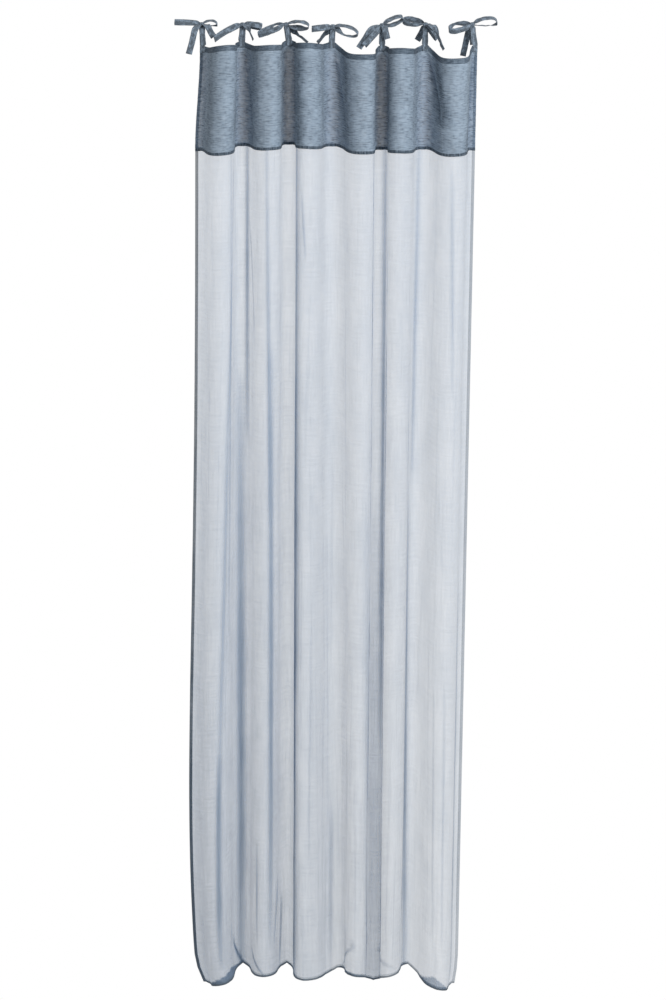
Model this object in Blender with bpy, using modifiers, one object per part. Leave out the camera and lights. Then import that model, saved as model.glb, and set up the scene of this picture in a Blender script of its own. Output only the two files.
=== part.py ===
"""Tie-top curtain: a linen header over a sheer body, gathered on seven ribbon bows.

Metres, +Z up. The origin is on the axis of the pole that the bows go round, midway
between the curtain's two side edges. The front of the curtain faces -Y.
"""
import math

import bmesh
import bpy
import numpy as np
from mathutils import Vector

# Cloth, measured flat
CURTAIN_WIDTH = 1.400
HEADER_DROP = 0.283
BODY_DROP = 2.217
TOP_HEM = 0.015
SIDE_HEM = 0.008
FOOT_HEM = 0.009
SEAM_LAP = 0.012

# Cloth thickness, single and where a hem turns it double
HEADER_CLOTH = 0.0010
HEADER_HEM_CLOTH = 0.0020
BODY_CLOTH = 0.0008
BODY_HEM_CLOTH = 0.0015
TOUCH_GAP = 0.0003

# The pole space that the ties enclose, and the ribbons
POLE_DIAMETER = 0.022
POLE_CLEARANCE = 0.0015
RIBBON_WIDTH = 0.017
RIBBON_CLOTH = 0.0008
TIE_LAP = 0.016
KNOT_SIZE = 0.0115
KNOT_PINCH = 0.006
PINCH_LENGTH = 0.016
KNOT_FLATTEN = 0.8
KNOT_SEAT = 0.4

# Gathers: distance from fold back to fold back, at the ties and at the foot hem
TIE_SPACINGS = (0.1125, 0.1287, 0.1165, 0.1355, 0.1165, 0.1420)
HEM_SPACINGS = (0.1137, 0.1190, 0.1355, 0.0840, 0.1084, 0.1300)

# The side edges: the left one leans out within the header, swells out again low down and
# both tuck in at the foot's corners. Levels run from 0 at the top edge to 1 at the foot.
HEM_SHIFT = 0.003
SIDE_FLARE = 0.0135
SIDE_BELLY = 0.0185
BELLY_LEVEL = 3.0
CORNER_TUCKS = (0.022, 0.016)
CORNER_LEVEL = 0.965

# How far the header's top edge lies below the pole's axis at each tie
TIE_DROPS = (0.043, 0.029, 0.025, 0.030, 0.039, 0.038, 0.041)

# Sag of each fold's front between two ties, at the top edge, at the seam and at the foot,
# and how much lower each fold back hangs at the foot than its tie would leave it
TOP_SAGS = (0.020, 0.028, 0.022, 0.045, 0.025, 0.051)
SEAM_SAGS = (0.032, 0.027, 0.023, 0.030, 0.024, 0.031)
FOOT_SAGS = (0.015, 0.020, 0.024, -0.012, -0.007, 0.024)
FOOT_DROPS = (0.033, -0.004, 0.0, 0.009, 0.033, -0.009, 0.039)
TOP_SAG_POWER = 0.8
SEAM_SAG_POWER = 1.3

# Share of each fold's cloth in its left wall, at the ties and at the foot. More than half
# tips the fold's front to the right, so that its right wall is the steep one.
TOP_SHARES = (0.530, 0.525, 0.478, 0.532, 0.475, 0.510)
FOOT_SHARES = (0.505, 0.485, 0.470, 0.500, 0.480, 0.500)
VALLEY_TIGHTNESS = 0.30

# The ribbon's way: how far round the pole it leaves the knot, where it leaves the pole's
# front and meets its back, in degrees, and how it swings out to the hem's front
KNOT_CLEAR_ANGLE = 18
FRONT_LEAVE_ANGLE = -20
BACK_MEET_ANGLE = 200
HEM_SWING = (0.25, 0.45)

# A loop's fullness as a share of its opening. A tail that falls behind goes over the pole
# at these angles, by these shares of its sideways run, and one in front bulges this far.
LOOP_FULLNESS = 0.65
TAIL_OVER_ANGLES = (105, 140, 178)
TAIL_OVER_SHARES = (0.08, 0.2, 0.4)
TAIL_BULGE = (0.45, 0.18)

# How soon after its tip a loop's two strands lie a full cloth apart on the pole
STRANDS_APART = 3.0

# Fineness
WALL_STEPS = 32
FOLD_SEGMENTS = 12
HEADER_ROWS = 2
BODY_ROWS = 5
LOOP_ROWS = 10
TAIL_ROWS = 8
KNOT_SIDES = 8

TIE_COUNT = len(TIE_DROPS)
FOLD_ARC = CURTAIN_WIDTH / (TIE_COUNT - 1)
TOTAL_DROP = HEADER_DROP + BODY_DROP
POLE_RADIUS = POLE_DIAMETER / 2
STRAP_RADIUS = POLE_RADIUS + POLE_CLEARANCE + RIBBON_CLOTH / 2
OVER_RADIUS = STRAP_RADIUS + 3 * RIBBON_CLOTH
BODY_SETBACK = HEADER_HEM_CLOTH / 2 + TOUCH_GAP + BODY_HEM_CLOTH / 2
LAP_INNER = HEADER_HEM_CLOTH / 2 + TOUCH_GAP + RIBBON_CLOTH / 2
LAP_OUTER = LAP_INNER + RIBBON_CLOTH + TOUCH_GAP

# One bow for each tie. Angles are in degrees: the knot's angle is measured up from the
# pole's front, and an aim from +X towards +Z. A roll of 0 shows a loop edge-on and open,
# and 90 shows it face-on and flat. A turn of 0 shows a tail face-on.
BOWS = (
    dict(
        knot=(80, -0.003),
        loops=(
            dict(aim=172, reach=0.074, opening=0.010, roll=76, droop=0.006, forward=0.006),
            dict(aim=8, reach=0.043, opening=0.015, roll=35, droop=0.006, forward=0.004),
        ),
        tails=(
            dict(end=(-0.034, -0.085), depth=-0.026, turn=8),
            dict(end=(0.033, -0.038), depth=-0.019, turn=15),
        ),
    ),
    dict(
        knot=(62, 0.003),
        loops=(
            dict(aim=196, reach=0.078, opening=0.007, roll=78, droop=0.022, forward=0.020),
            dict(aim=-7, reach=0.054, opening=0.011, roll=75, droop=0.002, forward=0.014),
        ),
        tails=(
            dict(end=(0.030, -0.045), depth=-0.025, turn=78),
            dict(end=(-0.003, -0.052), depth=0.024, turn=5),
        ),
    ),
    dict(
        knot=(70, -0.007),
        loops=(
            dict(aim=198, reach=0.080, opening=0.014, roll=28, droop=0.008, forward=0.022),
            dict(aim=-7, reach=0.062, opening=0.020, roll=25, droop=0.002, forward=0.020),
        ),
        tails=(
            dict(end=(0.057, -0.043), depth=0.024, turn=62),
            dict(end=(0.007, -0.046), depth=0.026, turn=5),
        ),
    ),
    dict(
        knot=(28, 0.002),
        loops=(
            dict(aim=185, reach=0.057, opening=0.008, roll=80, droop=0.002, forward=0.004),
            dict(aim=-14, reach=0.070, opening=0.022, roll=30, droop=0.004, forward=0.006),
        ),
        tails=(
            dict(end=(-0.041, -0.036), depth=0.024, turn=62),
            dict(end=(-0.003, -0.045), depth=0.026, turn=5),
        ),
    ),
    dict(
        knot=(44, 0.0),
        loops=(
            dict(aim=20, reach=0.060, opening=0.018, roll=38, droop=0.0, forward=0.004),
            dict(aim=227, reach=0.072, opening=0.010, roll=72, droop=0.004, forward=0.014),
        ),
        tails=(
            dict(end=(-0.063, -0.062), depth=-0.018, turn=8),
            dict(end=(0.014, -0.039), depth=-0.024, turn=15),
        ),
    ),
    dict(
        knot=(68, 0.001),
        loops=(
            dict(aim=171, reach=0.061, opening=0.022, roll=28, droop=0.0, forward=0.004),
            dict(aim=-38, reach=0.040, opening=0.012, roll=68, droop=0.020, forward=0.027),
        ),
        tails=(
            dict(end=(0.048, -0.074), depth=-0.034, turn=74),
            dict(end=(-0.021, -0.037), depth=0.024, turn=8),
        ),
    ),
    dict(
        knot=(82, -0.006),
        loops=(
            dict(aim=195, reach=0.067, opening=0.026, roll=48, droop=0.003, forward=0.024),
            dict(aim=6, reach=0.068, opening=0.026, roll=45, droop=0.002, forward=0.006),
        ),
        tails=(
            dict(end=(-0.024, -0.080), depth=0.026, turn=22),
            dict(end=(0.004, -0.050), depth=0.024, turn=5),
        ),
    ),
)


def clear_scene():
    """Start from an empty file."""
    for obj in list(bpy.data.objects):
        bpy.data.objects.remove(obj, do_unlink=True)


def ease(value):
    """Smooth step from 0 to 1."""
    value = np.clip(value, 0.0, 1.0)
    return value * value * (3.0 - 2.0 * value)


def wall_headings(swing):
    """Heading of the cloth at even steps along one wall, from the fold back to its front."""
    phase = (np.arange(WALL_STEPS) + 0.5) * math.pi / WALL_STEPS
    return swing * np.sin(phase + VALLEY_TIGHTNESS * np.sin(phase))


def wall_table():
    """How far a wall runs sideways and forwards for each swing of its heading."""
    swings = np.linspace(0.0, 2.2, 441)
    runs = np.array([np.cos(wall_headings(swing)).mean() for swing in swings])
    rises = np.array([np.sin(wall_headings(swing)).mean() for swing in swings])
    rising = slice(0, int(np.argmax(rises)) + 1)
    return swings[rising], runs[rising], rises[rising]


SWINGS, RUNS, RISES = wall_table()


def fold_walls(spacing, left_arc, right_arc):
    """Swings of the two walls of a fold that spans the spacing with all its cloth."""
    shallow = 0.0
    deep = min(left_arc, right_arc) * RISES[-1]
    for _ in range(40):
        depth = (shallow + deep) / 2
        left = np.interp(depth / left_arc, RISES, SWINGS)
        right = np.interp(depth / right_arc, RISES, SWINGS)
        span = left_arc * np.interp(left, SWINGS, RUNS) + right_arc * np.interp(right, SWINGS, RUNS)
        if span > spacing:
            shallow = depth
        else:
            deep = depth
    return left, right


def section(level):
    """Plan of the gathers at a level from 0 (top edge) to 1 (foot): arc, x and y of the cloth."""
    spacings = np.array(TIE_SPACINGS) * (1.0 - level) + np.array(HEM_SPACINGS) * level
    shares = np.array(TOP_SHARES) * (1.0 - level) + np.array(FOOT_SHARES) * level
    tuck = max(0.0, (level - CORNER_LEVEL) / (1.0 - CORNER_LEVEL)) ** 2
    swell = SIDE_FLARE * float(ease(level * TOTAL_DROP / HEADER_DROP))
    swell += SIDE_BELLY * math.sin(math.pi * level ** BELLY_LEVEL) - CORNER_TUCKS[0] * tuck
    spacings[0] += swell
    spacings[-1] -= CORNER_TUCKS[1] * tuck
    x, y = -sum(TIE_SPACINGS) / 2 + HEM_SHIFT * level - swell, 0.0
    arcs, xs, ys = [0.0], [x], [y]
    for fold, spacing in enumerate(spacings):
        left_arc = FOLD_ARC * shares[fold]
        right_arc = FOLD_ARC - left_arc
        swings = fold_walls(spacing, left_arc, right_arc)
        for arc, headings in (
            (left_arc, wall_headings(swings[0])),
            (right_arc, -wall_headings(swings[1])[::-1]),
        ):
            for heading in headings:
                x += math.cos(heading) * arc / WALL_STEPS
                y -= math.sin(heading) * arc / WALL_STEPS
                arcs.append(arcs[-1] + arc / WALL_STEPS)
                xs.append(x)
                ys.append(y)
    return np.array(arcs), np.array(xs), np.array(ys)


def tie_places():
    """Middle of each tie along the flat top edge; the end ties are flush with the sides."""
    places = np.linspace(0.0, CURTAIN_WIDTH, TIE_COUNT)
    places[0] = RIBBON_WIDTH / 2
    places[-1] = CURTAIN_WIDTH - RIBBON_WIDTH / 2
    return places


def drop_of(across, down):
    """Height of the cloth that lies this far across and down, both measured flat."""
    places = tie_places()
    held = np.sort(np.concatenate((places - RIBBON_WIDTH / 2, places + RIBBON_WIDTH / 2)))
    seam = float(ease(down / HEADER_DROP))
    foot = float(ease((down - HEADER_DROP) / BODY_DROP))
    back_drop = np.interp(across, held, np.repeat(np.array(TIE_DROPS) + foot * np.array(FOOT_DROPS), 2))
    fold = min(int(across / FOLD_ARC), TIE_COUNT - 2)
    start, end = held[2 * fold + 1], held[2 * fold + 2]
    place = min(max((across - start) / (end - start), 0.0), 1.0)
    sag = TOP_SAGS[fold] * (1 - seam) + SEAM_SAGS[fold] * (seam - foot) + FOOT_SAGS[fold] * foot
    power = TOP_SAG_POWER * (1 - seam) + SEAM_SAG_POWER * seam
    return -back_drop - sag * math.sin(math.pi * place) ** power - down


def drape(across, down, front):
    """Points of the hanging cloth at one level, moved off the cloth to its front by a distance."""
    arcs, xs, ys = section(min(max(down / TOTAL_DROP, 0.0), 1.0))
    nudge = RIBBON_WIDTH / 8
    points = []
    for place in across:
        x, y = np.interp(place, arcs, xs), np.interp(place, arcs, ys)
        ahead, behind = min(place + nudge, arcs[-1]), max(place - nudge, 0.0)
        run = np.interp(ahead, arcs, xs) - np.interp(behind, arcs, xs)
        rise = np.interp(ahead, arcs, ys) - np.interp(behind, arcs, ys)
        length = math.hypot(run, rise)
        points.append(Vector((x + front * rise / length, y - front * run / length, drop_of(place, down))))
    return points


def cloth_columns():
    """Places across the cloth that get a line of vertices: at the ties, hems and between."""
    half = RIBBON_WIDTH / 2
    columns = {0.0, CURTAIN_WIDTH, SIDE_HEM, CURTAIN_WIDTH - SIDE_HEM}
    places = tie_places()
    for place in places:
        columns.update((place - half, place, place + half))
    for near, far in zip(places[:-1] + half, places[1:] - half):
        columns.update(np.linspace(near, far, FOLD_SEGMENTS + 1))
    ordered = sorted(columns)
    kept = [ordered[0]]
    for place in ordered[1:]:
        if place - kept[-1] > RIBBON_WIDTH / 20:
            kept.append(place)
    kept[-1] = CURTAIN_WIDTH
    return kept


def make_material(name, colour, roughness):
    """Plain cloth material."""
    material = bpy.data.materials.new(name)
    material.use_nodes = True
    shader = material.node_tree.nodes["Principled BSDF"]
    shader.inputs["Base Color"].default_value = (*colour, 1.0)
    shader.inputs["Roughness"].default_value = roughness
    shader.inputs["Metallic"].default_value = 0.0
    return material


def thicken(obj, thickness):
    """Give an open sheet its cloth thickness, half to each side."""
    wall = obj.modifiers.new("cloth", "SOLIDIFY")
    wall.thickness = thickness
    wall.offset = 0.0
    wall.use_even_offset = True
    return wall


def grid_object(name, rows, collection, in_hem=None):
    """Sheet whose grid vertices take the given points, row by row, with its hem marked."""
    down, across = len(rows) - 1, len(rows[0]) - 1
    mesh = bpy.data.meshes.new(name)
    obj = bpy.data.objects.new(name, mesh)
    collection.objects.link(obj)
    if in_hem:
        obj.vertex_groups.new(name="hem")
    grid = bmesh.new()
    bmesh.ops.create_grid(grid, x_segments=across, y_segments=down, size=0.5)
    marks = grid.verts.layers.deform.verify()
    for vert in grid.verts:
        column = round((vert.co.x + 0.5) * across)
        row = round((0.5 - vert.co.y) * down)
        vert.co = rows[row][column]
        if in_hem and in_hem(row, column):
            vert[marks][0] = 1.0
    grid.to_mesh(mesh)
    grid.free()
    return obj


def make_panel(name, downs, front, single, double, hem_edges, material, collection):
    """One hanging panel, double where its top or foot edge and its sides are turned."""
    columns = cloth_columns()
    rows = [drape(columns, down, front) for down in downs]
    low, high = hem_edges

    def in_hem(row, column):
        at_side = min(columns[column], CURTAIN_WIDTH - columns[column]) <= SIDE_HEM + TOUCH_GAP
        return at_side or downs[row] <= low + TOUCH_GAP or downs[row] >= high - TOUCH_GAP

    panel = grid_object(name, rows, collection, in_hem)
    wall = thicken(panel, double)
    wall.vertex_group = "hem"
    wall.thickness_vertex_group = single / double
    panel.data.materials.append(material)
    return panel


def make_header(material, collection):
    """Upper band, with its turned top hem and side hems."""
    below = np.linspace(TOP_HEM, HEADER_DROP - SEAM_LAP, HEADER_ROWS + 1)
    downs = [0.0, TOP_HEM, TOP_HEM + HEADER_HEM_CLOTH, *below[1:], HEADER_DROP]
    hems = (TOP_HEM, TOTAL_DROP)
    return make_panel(
        "header_panel", downs, 0.0, HEADER_CLOTH, HEADER_HEM_CLOTH, hems, material, collection)


def make_body(material, collection):
    """Sheer panel, whose top edge is lapped behind the header and whose foot is hemmed."""
    foot = TOTAL_DROP - FOOT_HEM
    downs = [HEADER_DROP - SEAM_LAP, *np.linspace(HEADER_DROP, CORNER_LEVEL * TOTAL_DROP, BODY_ROWS + 1)]
    downs += [(1 + CORNER_LEVEL) / 2 * TOTAL_DROP, foot - BODY_HEM_CLOTH, foot, TOTAL_DROP]
    hems = (0.0, foot)
    return make_panel(
        "body_panel", downs, -BODY_SETBACK, BODY_CLOTH, BODY_HEM_CLOTH, hems, material, collection)


def smooth_path(points, count):
    """Evenly spaced points on a smooth curve through the given ones."""
    nodes = [points[0], *points, points[-1]]
    fine = []
    for before, start, end, after in zip(nodes, nodes[1:], nodes[2:], nodes[3:]):
        for step in np.linspace(0.0, 1.0, 12, endpoint=False):
            fine.append(0.5 * (
                2 * start + (end - before) * step
                + (2 * before - 5 * start + 4 * end - after) * step ** 2
                + (3 * start - before - 3 * end + after) * step ** 3))
    fine.append(points[-1])
    along = np.concatenate(([0.0], np.cumsum([(b - a).length for a, b in zip(fine, fine[1:])])))
    wanted = np.linspace(0.0, along[-1], count)
    return [Vector([np.interp(place, along, [point[axis] for point in fine]) for axis in range(3)])
            for place in wanted]


def ribbon_half(distance):
    """Half the ribbon's width, gathered narrow where it comes out of its knot."""
    return (KNOT_PINCH + (RIBBON_WIDTH - KNOT_PINCH) * float(ease(distance / PINCH_LENGTH))) / 2


def round_pole(angle):
    """Point on the ribbon's way round the pole; 0 is the pole's front and 90 its top."""
    turn = math.radians(angle)
    return Vector((0.0, -STRAP_RADIUS * math.cos(turn), STRAP_RADIUS * math.sin(turn)))


def strap_rows(place, knot, angle):
    """Ribbon from the knot down the pole's front, sewn by its fold to the hem, and up behind."""
    steps = (-RIBBON_WIDTH / 2, 0.0, RIBBON_WIDTH / 2)
    edge, sewn, other_edge = drape([place + step for step in steps], 0.0, 0.0)
    bends = (edge.y - sewn.y, 0.0, other_edge.y - sewn.y)

    def free_row(point):
        climb = float(ease((point.z - sewn.z) / (knot.z - sewn.z)))
        middle = sewn.x + (knot.x - sewn.x) * climb
        half = ribbon_half((Vector((knot.x, point.y, point.z)) - knot).length)
        hug = 1.0 - float(ease((point.z - sewn.z) / (-STRAP_RADIUS - sewn.z)))
        return [Vector((middle + half * side, point.y + hug * bend, point.z))
                for side, bend in zip((-1, 0, 1), bends)]

    def sewn_row(down, front):
        return drape([place + step for step in steps], down, front)

    apart = Vector((0.0, math.sin(math.radians(angle)), math.cos(math.radians(angle)))) * RIBBON_CLOTH
    front_way = [knot - apart]
    front_way += [round_pole(a) for a in np.linspace(angle - KNOT_CLEAR_ANGLE, FRONT_LEAVE_ANGLE, 4)]
    swing = Vector((0.0, -HEM_SWING[0], HEM_SWING[1])) * POLE_RADIUS
    front_way.append(Vector((0.0, sewn.y - LAP_INNER, sewn.z)) + swing)
    back_way = [Vector((0.0, sewn.y + RIBBON_CLOTH, sewn.z + TIE_LAP / 4))]
    back_way += [round_pole(a) for a in np.linspace(BACK_MEET_ANGLE, angle + KNOT_CLEAR_ANGLE, 5)]
    back_way.append(knot + apart)
    rows = [free_row(point) for point in front_way]
    rows += [sewn_row(0.0, LAP_OUTER), sewn_row(TIE_LAP, LAP_OUTER)]
    rows.append(sewn_row(TIE_LAP + RIBBON_CLOTH, (LAP_OUTER + LAP_INNER) / 2))
    rows += [sewn_row(TIE_LAP, LAP_INNER), sewn_row(-RIBBON_CLOTH, LAP_INNER)]
    rows += [free_row(point) for point in back_way]
    return rows


def off_pole(point, radius):
    """Point of loose ribbon, moved out to where it rests on the pole if it lies nearer the axis."""
    near = math.hypot(point.y, point.z)
    if near >= radius:
        return point
    return Vector((point.x, point.y * radius / near, point.z * radius / near))


def loop_rows(knot, aim, reach, opening, roll, droop, forward):
    """Ribbon out to a bow loop's tip and back, as a teardrop that leans out and droops."""
    aim, roll = math.radians(aim), math.radians(roll)
    out = Vector((math.cos(aim), 0.0, math.sin(aim)))
    lift = Vector((-math.sin(aim), 0.0, math.cos(aim)))
    apart = lift * math.cos(roll) + Vector((0.0, -math.sin(roll), 0.0))
    side = out.cross(apart)
    rows = []
    for turn in np.linspace(0.0, 2 * math.pi, LOOP_ROWS + 1):
        gone = (1 - math.cos(turn)) / 2
        spread = opening * LOOP_FULLNESS * math.sin(turn) * math.sqrt(max(math.sin(turn / 2), 0.0))
        spread += RIBBON_CLOTH * math.cos(turn / 2)
        middle = knot + out * (reach * gone) + apart * spread
        middle += Vector((0.0, -forward * gone, -droop * gone * gone))
        half = ribbon_half((middle - knot).length)
        strand = min(max(STRANDS_APART * math.cos(turn / 2), -1.0), 1.0)
        radius = OVER_RADIUS + RIBBON_CLOTH * (1 + strand)
        rows.append([off_pole(middle - side * half, radius), off_pole(middle + side * half, radius)])
    return rows


def tail_rows(knot, end, depth, turn):
    """Loose end of the ribbon, which comes out of the knot and hangs to where it was cut."""
    tip = Vector((knot.x + end[0], depth, knot.z + end[1]))
    if depth > 0:
        way = [round_pole(angle) * (OVER_RADIUS / STRAP_RADIUS) for angle in TAIL_OVER_ANGLES]
        for point, gone in zip(way, TAIL_OVER_SHARES):
            point.x = knot.x + gone * end[0]
    else:
        bulge = Vector((knot.x + TAIL_BULGE[0] * end[0], depth, knot.z + TAIL_BULGE[1] * end[1]))
        way = [bulge, (bulge + tip) / 2]
    path = smooth_path([knot, *way, tip], TAIL_ROWS + 1)
    rows = []
    for index, point in enumerate(path):
        ahead = (path[min(index + 1, TAIL_ROWS)] - path[max(index - 1, 0)]).normalized()
        level = Vector((1.0, 0.0, 0.0)) - ahead * ahead.x
        level.normalize()
        twist = math.radians(turn) * float(ease(2 * index / TAIL_ROWS - 0.4))
        side = level * math.cos(twist) + ahead.cross(level) * math.sin(twist)
        half = ribbon_half((point - knot).length)
        rows.append([off_pole(edge, OVER_RADIUS) for edge in (point - side * half, point + side * half)])
    return rows


def plain_mesh(obj):
    """Swap the object's mesh for its evaluated form and drop its modifiers."""
    graph = bpy.context.evaluated_depsgraph_get()
    mesh = bpy.data.meshes.new_from_object(obj.evaluated_get(graph))
    obj.modifiers.clear()
    obj.data = mesh


def make_ribbon(name, rows, collection):
    """Closed strip of ribbon through the given rows."""
    ribbon = grid_object(name, rows, collection)
    thicken(ribbon, RIBBON_CLOTH)
    plain_mesh(ribbon)
    return ribbon


def fill_pockets(obj):
    """Fill what the union of the ribbon's turns sealed in, leaving only the outer skin."""
    skin = bmesh.new()
    skin.from_mesh(obj.data)
    unseen = set(skin.verts)
    shells = []
    while unseen:
        shell, edge = set(), [next(iter(unseen))]
        while edge:
            vert = edge.pop()
            if vert in shell:
                continue
            shell.add(vert)
            edge += [line.other_vert(vert) for line in vert.link_edges]
        unseen -= shell
        shells.append(shell)
    outer = max(shells, key=len)
    bmesh.ops.delete(skin, geom=[vert for vert in skin.verts if vert not in outer], context="VERTS")
    skin.to_mesh(obj.data)
    skin.free()


def make_knot(name, centre):
    """Small squeezed ball of wrapped ribbon."""
    bpy.ops.mesh.primitive_uv_sphere_add(
        segments=KNOT_SIDES, ring_count=KNOT_SIDES // 2, radius=KNOT_SIZE / 2, location=centre)
    knot = bpy.context.object
    knot.name = name
    knot.scale.y = KNOT_FLATTEN
    bpy.ops.object.transform_apply(location=True, rotation=False, scale=True)
    return knot


def make_tie(number, place, bow, material, collection, cutters):
    """One ribbon: strap round the pole, knot, two loops and two tails in one solid."""
    angle, shift = bow["knot"]
    top = drape([place], 0.0, 0.0)[0]
    turn = math.radians(angle)
    reach = Vector((0.0, -math.cos(turn), math.sin(turn))) * (STRAP_RADIUS + KNOT_SIZE * KNOT_SEAT)
    centre = Vector((top.x + shift, 0.0, 0.0)) + reach
    tie = make_knot(f"tie_{number}", centre)
    for other in tie.users_collection:
        other.objects.unlink(tie)
    collection.objects.link(tie)
    strips = [strap_rows(place, centre, angle)]
    strips += [loop_rows(centre, **loop) for loop in bow["loops"]]
    strips += [tail_rows(centre, **tail) for tail in bow["tails"]]
    for rows in strips:
        strip = make_ribbon("strip", rows, cutters)
        joint = tie.modifiers.new("tied", "BOOLEAN")
        joint.operation = "UNION"
        joint.solver = "EXACT"
        joint.object = strip
        plain_mesh(tie)
        bpy.data.objects.remove(strip, do_unlink=True)
    fill_pockets(tie)
    tie.data.materials.clear()
    tie.data.materials.append(material)
    return tie


def main():
    """Build the curtain."""
    clear_scene()
    scene = bpy.context.scene
    curtain = bpy.data.collections.new("tie_top_curtain")
    cutters = bpy.data.collections.new("cutters")
    scene.collection.children.link(curtain)
    scene.collection.children.link(cutters)
    header_cloth = make_material("slub_linen", (0.235, 0.319, 0.407), 0.85)
    body_cloth = make_material("sheer_voile", (0.584, 0.651, 0.723), 0.90)
    ribbon_cloth = make_material("linen_ribbon", (0.130, 0.175, 0.223), 0.85)
    make_header(header_cloth, curtain)
    make_body(body_cloth, curtain)
    for number, (place, bow) in enumerate(zip(tie_places(), BOWS), start=1):
        make_tie(number, place, bow, ribbon_cloth, curtain, cutters)


main()
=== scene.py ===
"""Tie-top curtain: the looks of its linen header, its sheer voile body and its ribbon bows.

Metres, +Z up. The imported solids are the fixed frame, and each operator makes a finished
piece that stands for one of them. The origin is on the axis of the pole that the bows go
round, and the front of the curtain faces -Y.
"""
import math

import bpy
import numpy as np
from bpy.props import FloatProperty, FloatVectorProperty, IntProperty, PointerProperty
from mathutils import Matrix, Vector


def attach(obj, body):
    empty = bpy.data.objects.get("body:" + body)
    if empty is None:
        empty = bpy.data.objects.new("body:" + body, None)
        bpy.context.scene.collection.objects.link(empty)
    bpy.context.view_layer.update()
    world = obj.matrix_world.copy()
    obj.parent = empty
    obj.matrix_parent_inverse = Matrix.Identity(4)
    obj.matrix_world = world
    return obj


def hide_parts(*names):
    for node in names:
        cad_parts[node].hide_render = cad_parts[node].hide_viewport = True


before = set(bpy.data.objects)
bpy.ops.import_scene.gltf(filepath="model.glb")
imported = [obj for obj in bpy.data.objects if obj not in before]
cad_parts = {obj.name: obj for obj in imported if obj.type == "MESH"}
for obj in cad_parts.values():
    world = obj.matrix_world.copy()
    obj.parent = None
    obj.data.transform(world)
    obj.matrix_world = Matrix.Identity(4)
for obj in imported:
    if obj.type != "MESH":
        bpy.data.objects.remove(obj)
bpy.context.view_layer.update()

bl_info = {
    "name": "Tie-top curtain",
    "version": (1, 0, 0),
    "blender": (4, 5, 0),
    "location": "View3D > Sidebar > Curtain",
    "description": "Dresses a tie-top curtain in linen, voile and ribbon",
    "category": "Object",
}

# Gathers, from fold back to fold back. They differ from the solids' in the foot's spacings,
# its corner tucks and its sags' power, and in the leans and bends below.
TIE_SPACINGS = (0.1125, 0.1287, 0.1165, 0.1355, 0.1165, 0.1420)
HEM_SPACINGS = (0.1137, 0.1190, 0.1355, 0.0980, 0.0944, 0.1340)
HEM_SHIFT = 0.003
SIDE_FLARE = 0.0135
SIDE_BELLY = 0.0185
BELLY_LEVEL = 3.0
CORNER_TUCKS = (0.020, 0.008)
CORNER_LEVEL = 0.965
TIE_DROPS = (0.043, 0.029, 0.025, 0.030, 0.039, 0.038, 0.041)
TOP_SAGS = (0.020, 0.028, 0.022, 0.045, 0.025, 0.051)
SEAM_SAGS = (0.032, 0.027, 0.023, 0.030, 0.024, 0.031)
FOOT_SAGS = (0.015, 0.020, 0.024, -0.012, -0.007, 0.024)
FOOT_DROPS = (0.033, -0.004, 0.0, 0.009, 0.033, -0.009, 0.039)
TOP_SAG_POWER = 0.8
SEAM_SAG_POWER = 1.3
FOOT_SAG_POWER = 0.65
TOP_SHARES = (0.530, 0.525, 0.478, 0.532, 0.475, 0.510)
FOOT_SHARES = (0.505, 0.485, 0.470, 0.500, 0.480, 0.500)
VALLEY_TIGHTNESS = 0.30
WALL_STEPS = 96
LEVELS = 65

# How far each fold leans over its left wall, for each metre of its depth, and how evenly
# its walls turn, at the top and at the foot: below 1 they are straighter between tight bends
TOP_LEANS = (-0.02, -0.05, -0.06, -0.08, -0.06, -0.10)
FOOT_LEANS = (0.0, -0.06, 0.12, 0.0, -0.08, -0.14)
TOP_BEND = 0.85
FOOT_BEND = 0.6

# Drag lines in the header: the tie each starts at, how far it drifts sideways in folds,
# how far down it runs, and its width and height, in metres. The linen is also painted darker
# along their grooves and lighter along their ridges: painted shade.
DRAG_LINES = (
    (1, 0.10, 0.22, 0.010, -0.003),
    (2, 0.20, 0.26, 0.011, -0.005),
    (2, -0.12, 0.24, 0.009, 0.003),
    (3, 0.16, 0.27, 0.010, -0.005),
    (4, 0.22, 0.27, 0.012, -0.008),
    (4, -0.14, 0.20, 0.008, 0.003),
    (5, -0.16, 0.27, 0.009, -0.005),
    (5, 0.10, 0.24, 0.010, -0.005),
    (6, 0.30, 0.20, 0.014, -0.012),
    (6, -0.20, 0.16, 0.010, 0.003),
    (7, -0.12, 0.27, 0.010, -0.007),
)
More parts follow.
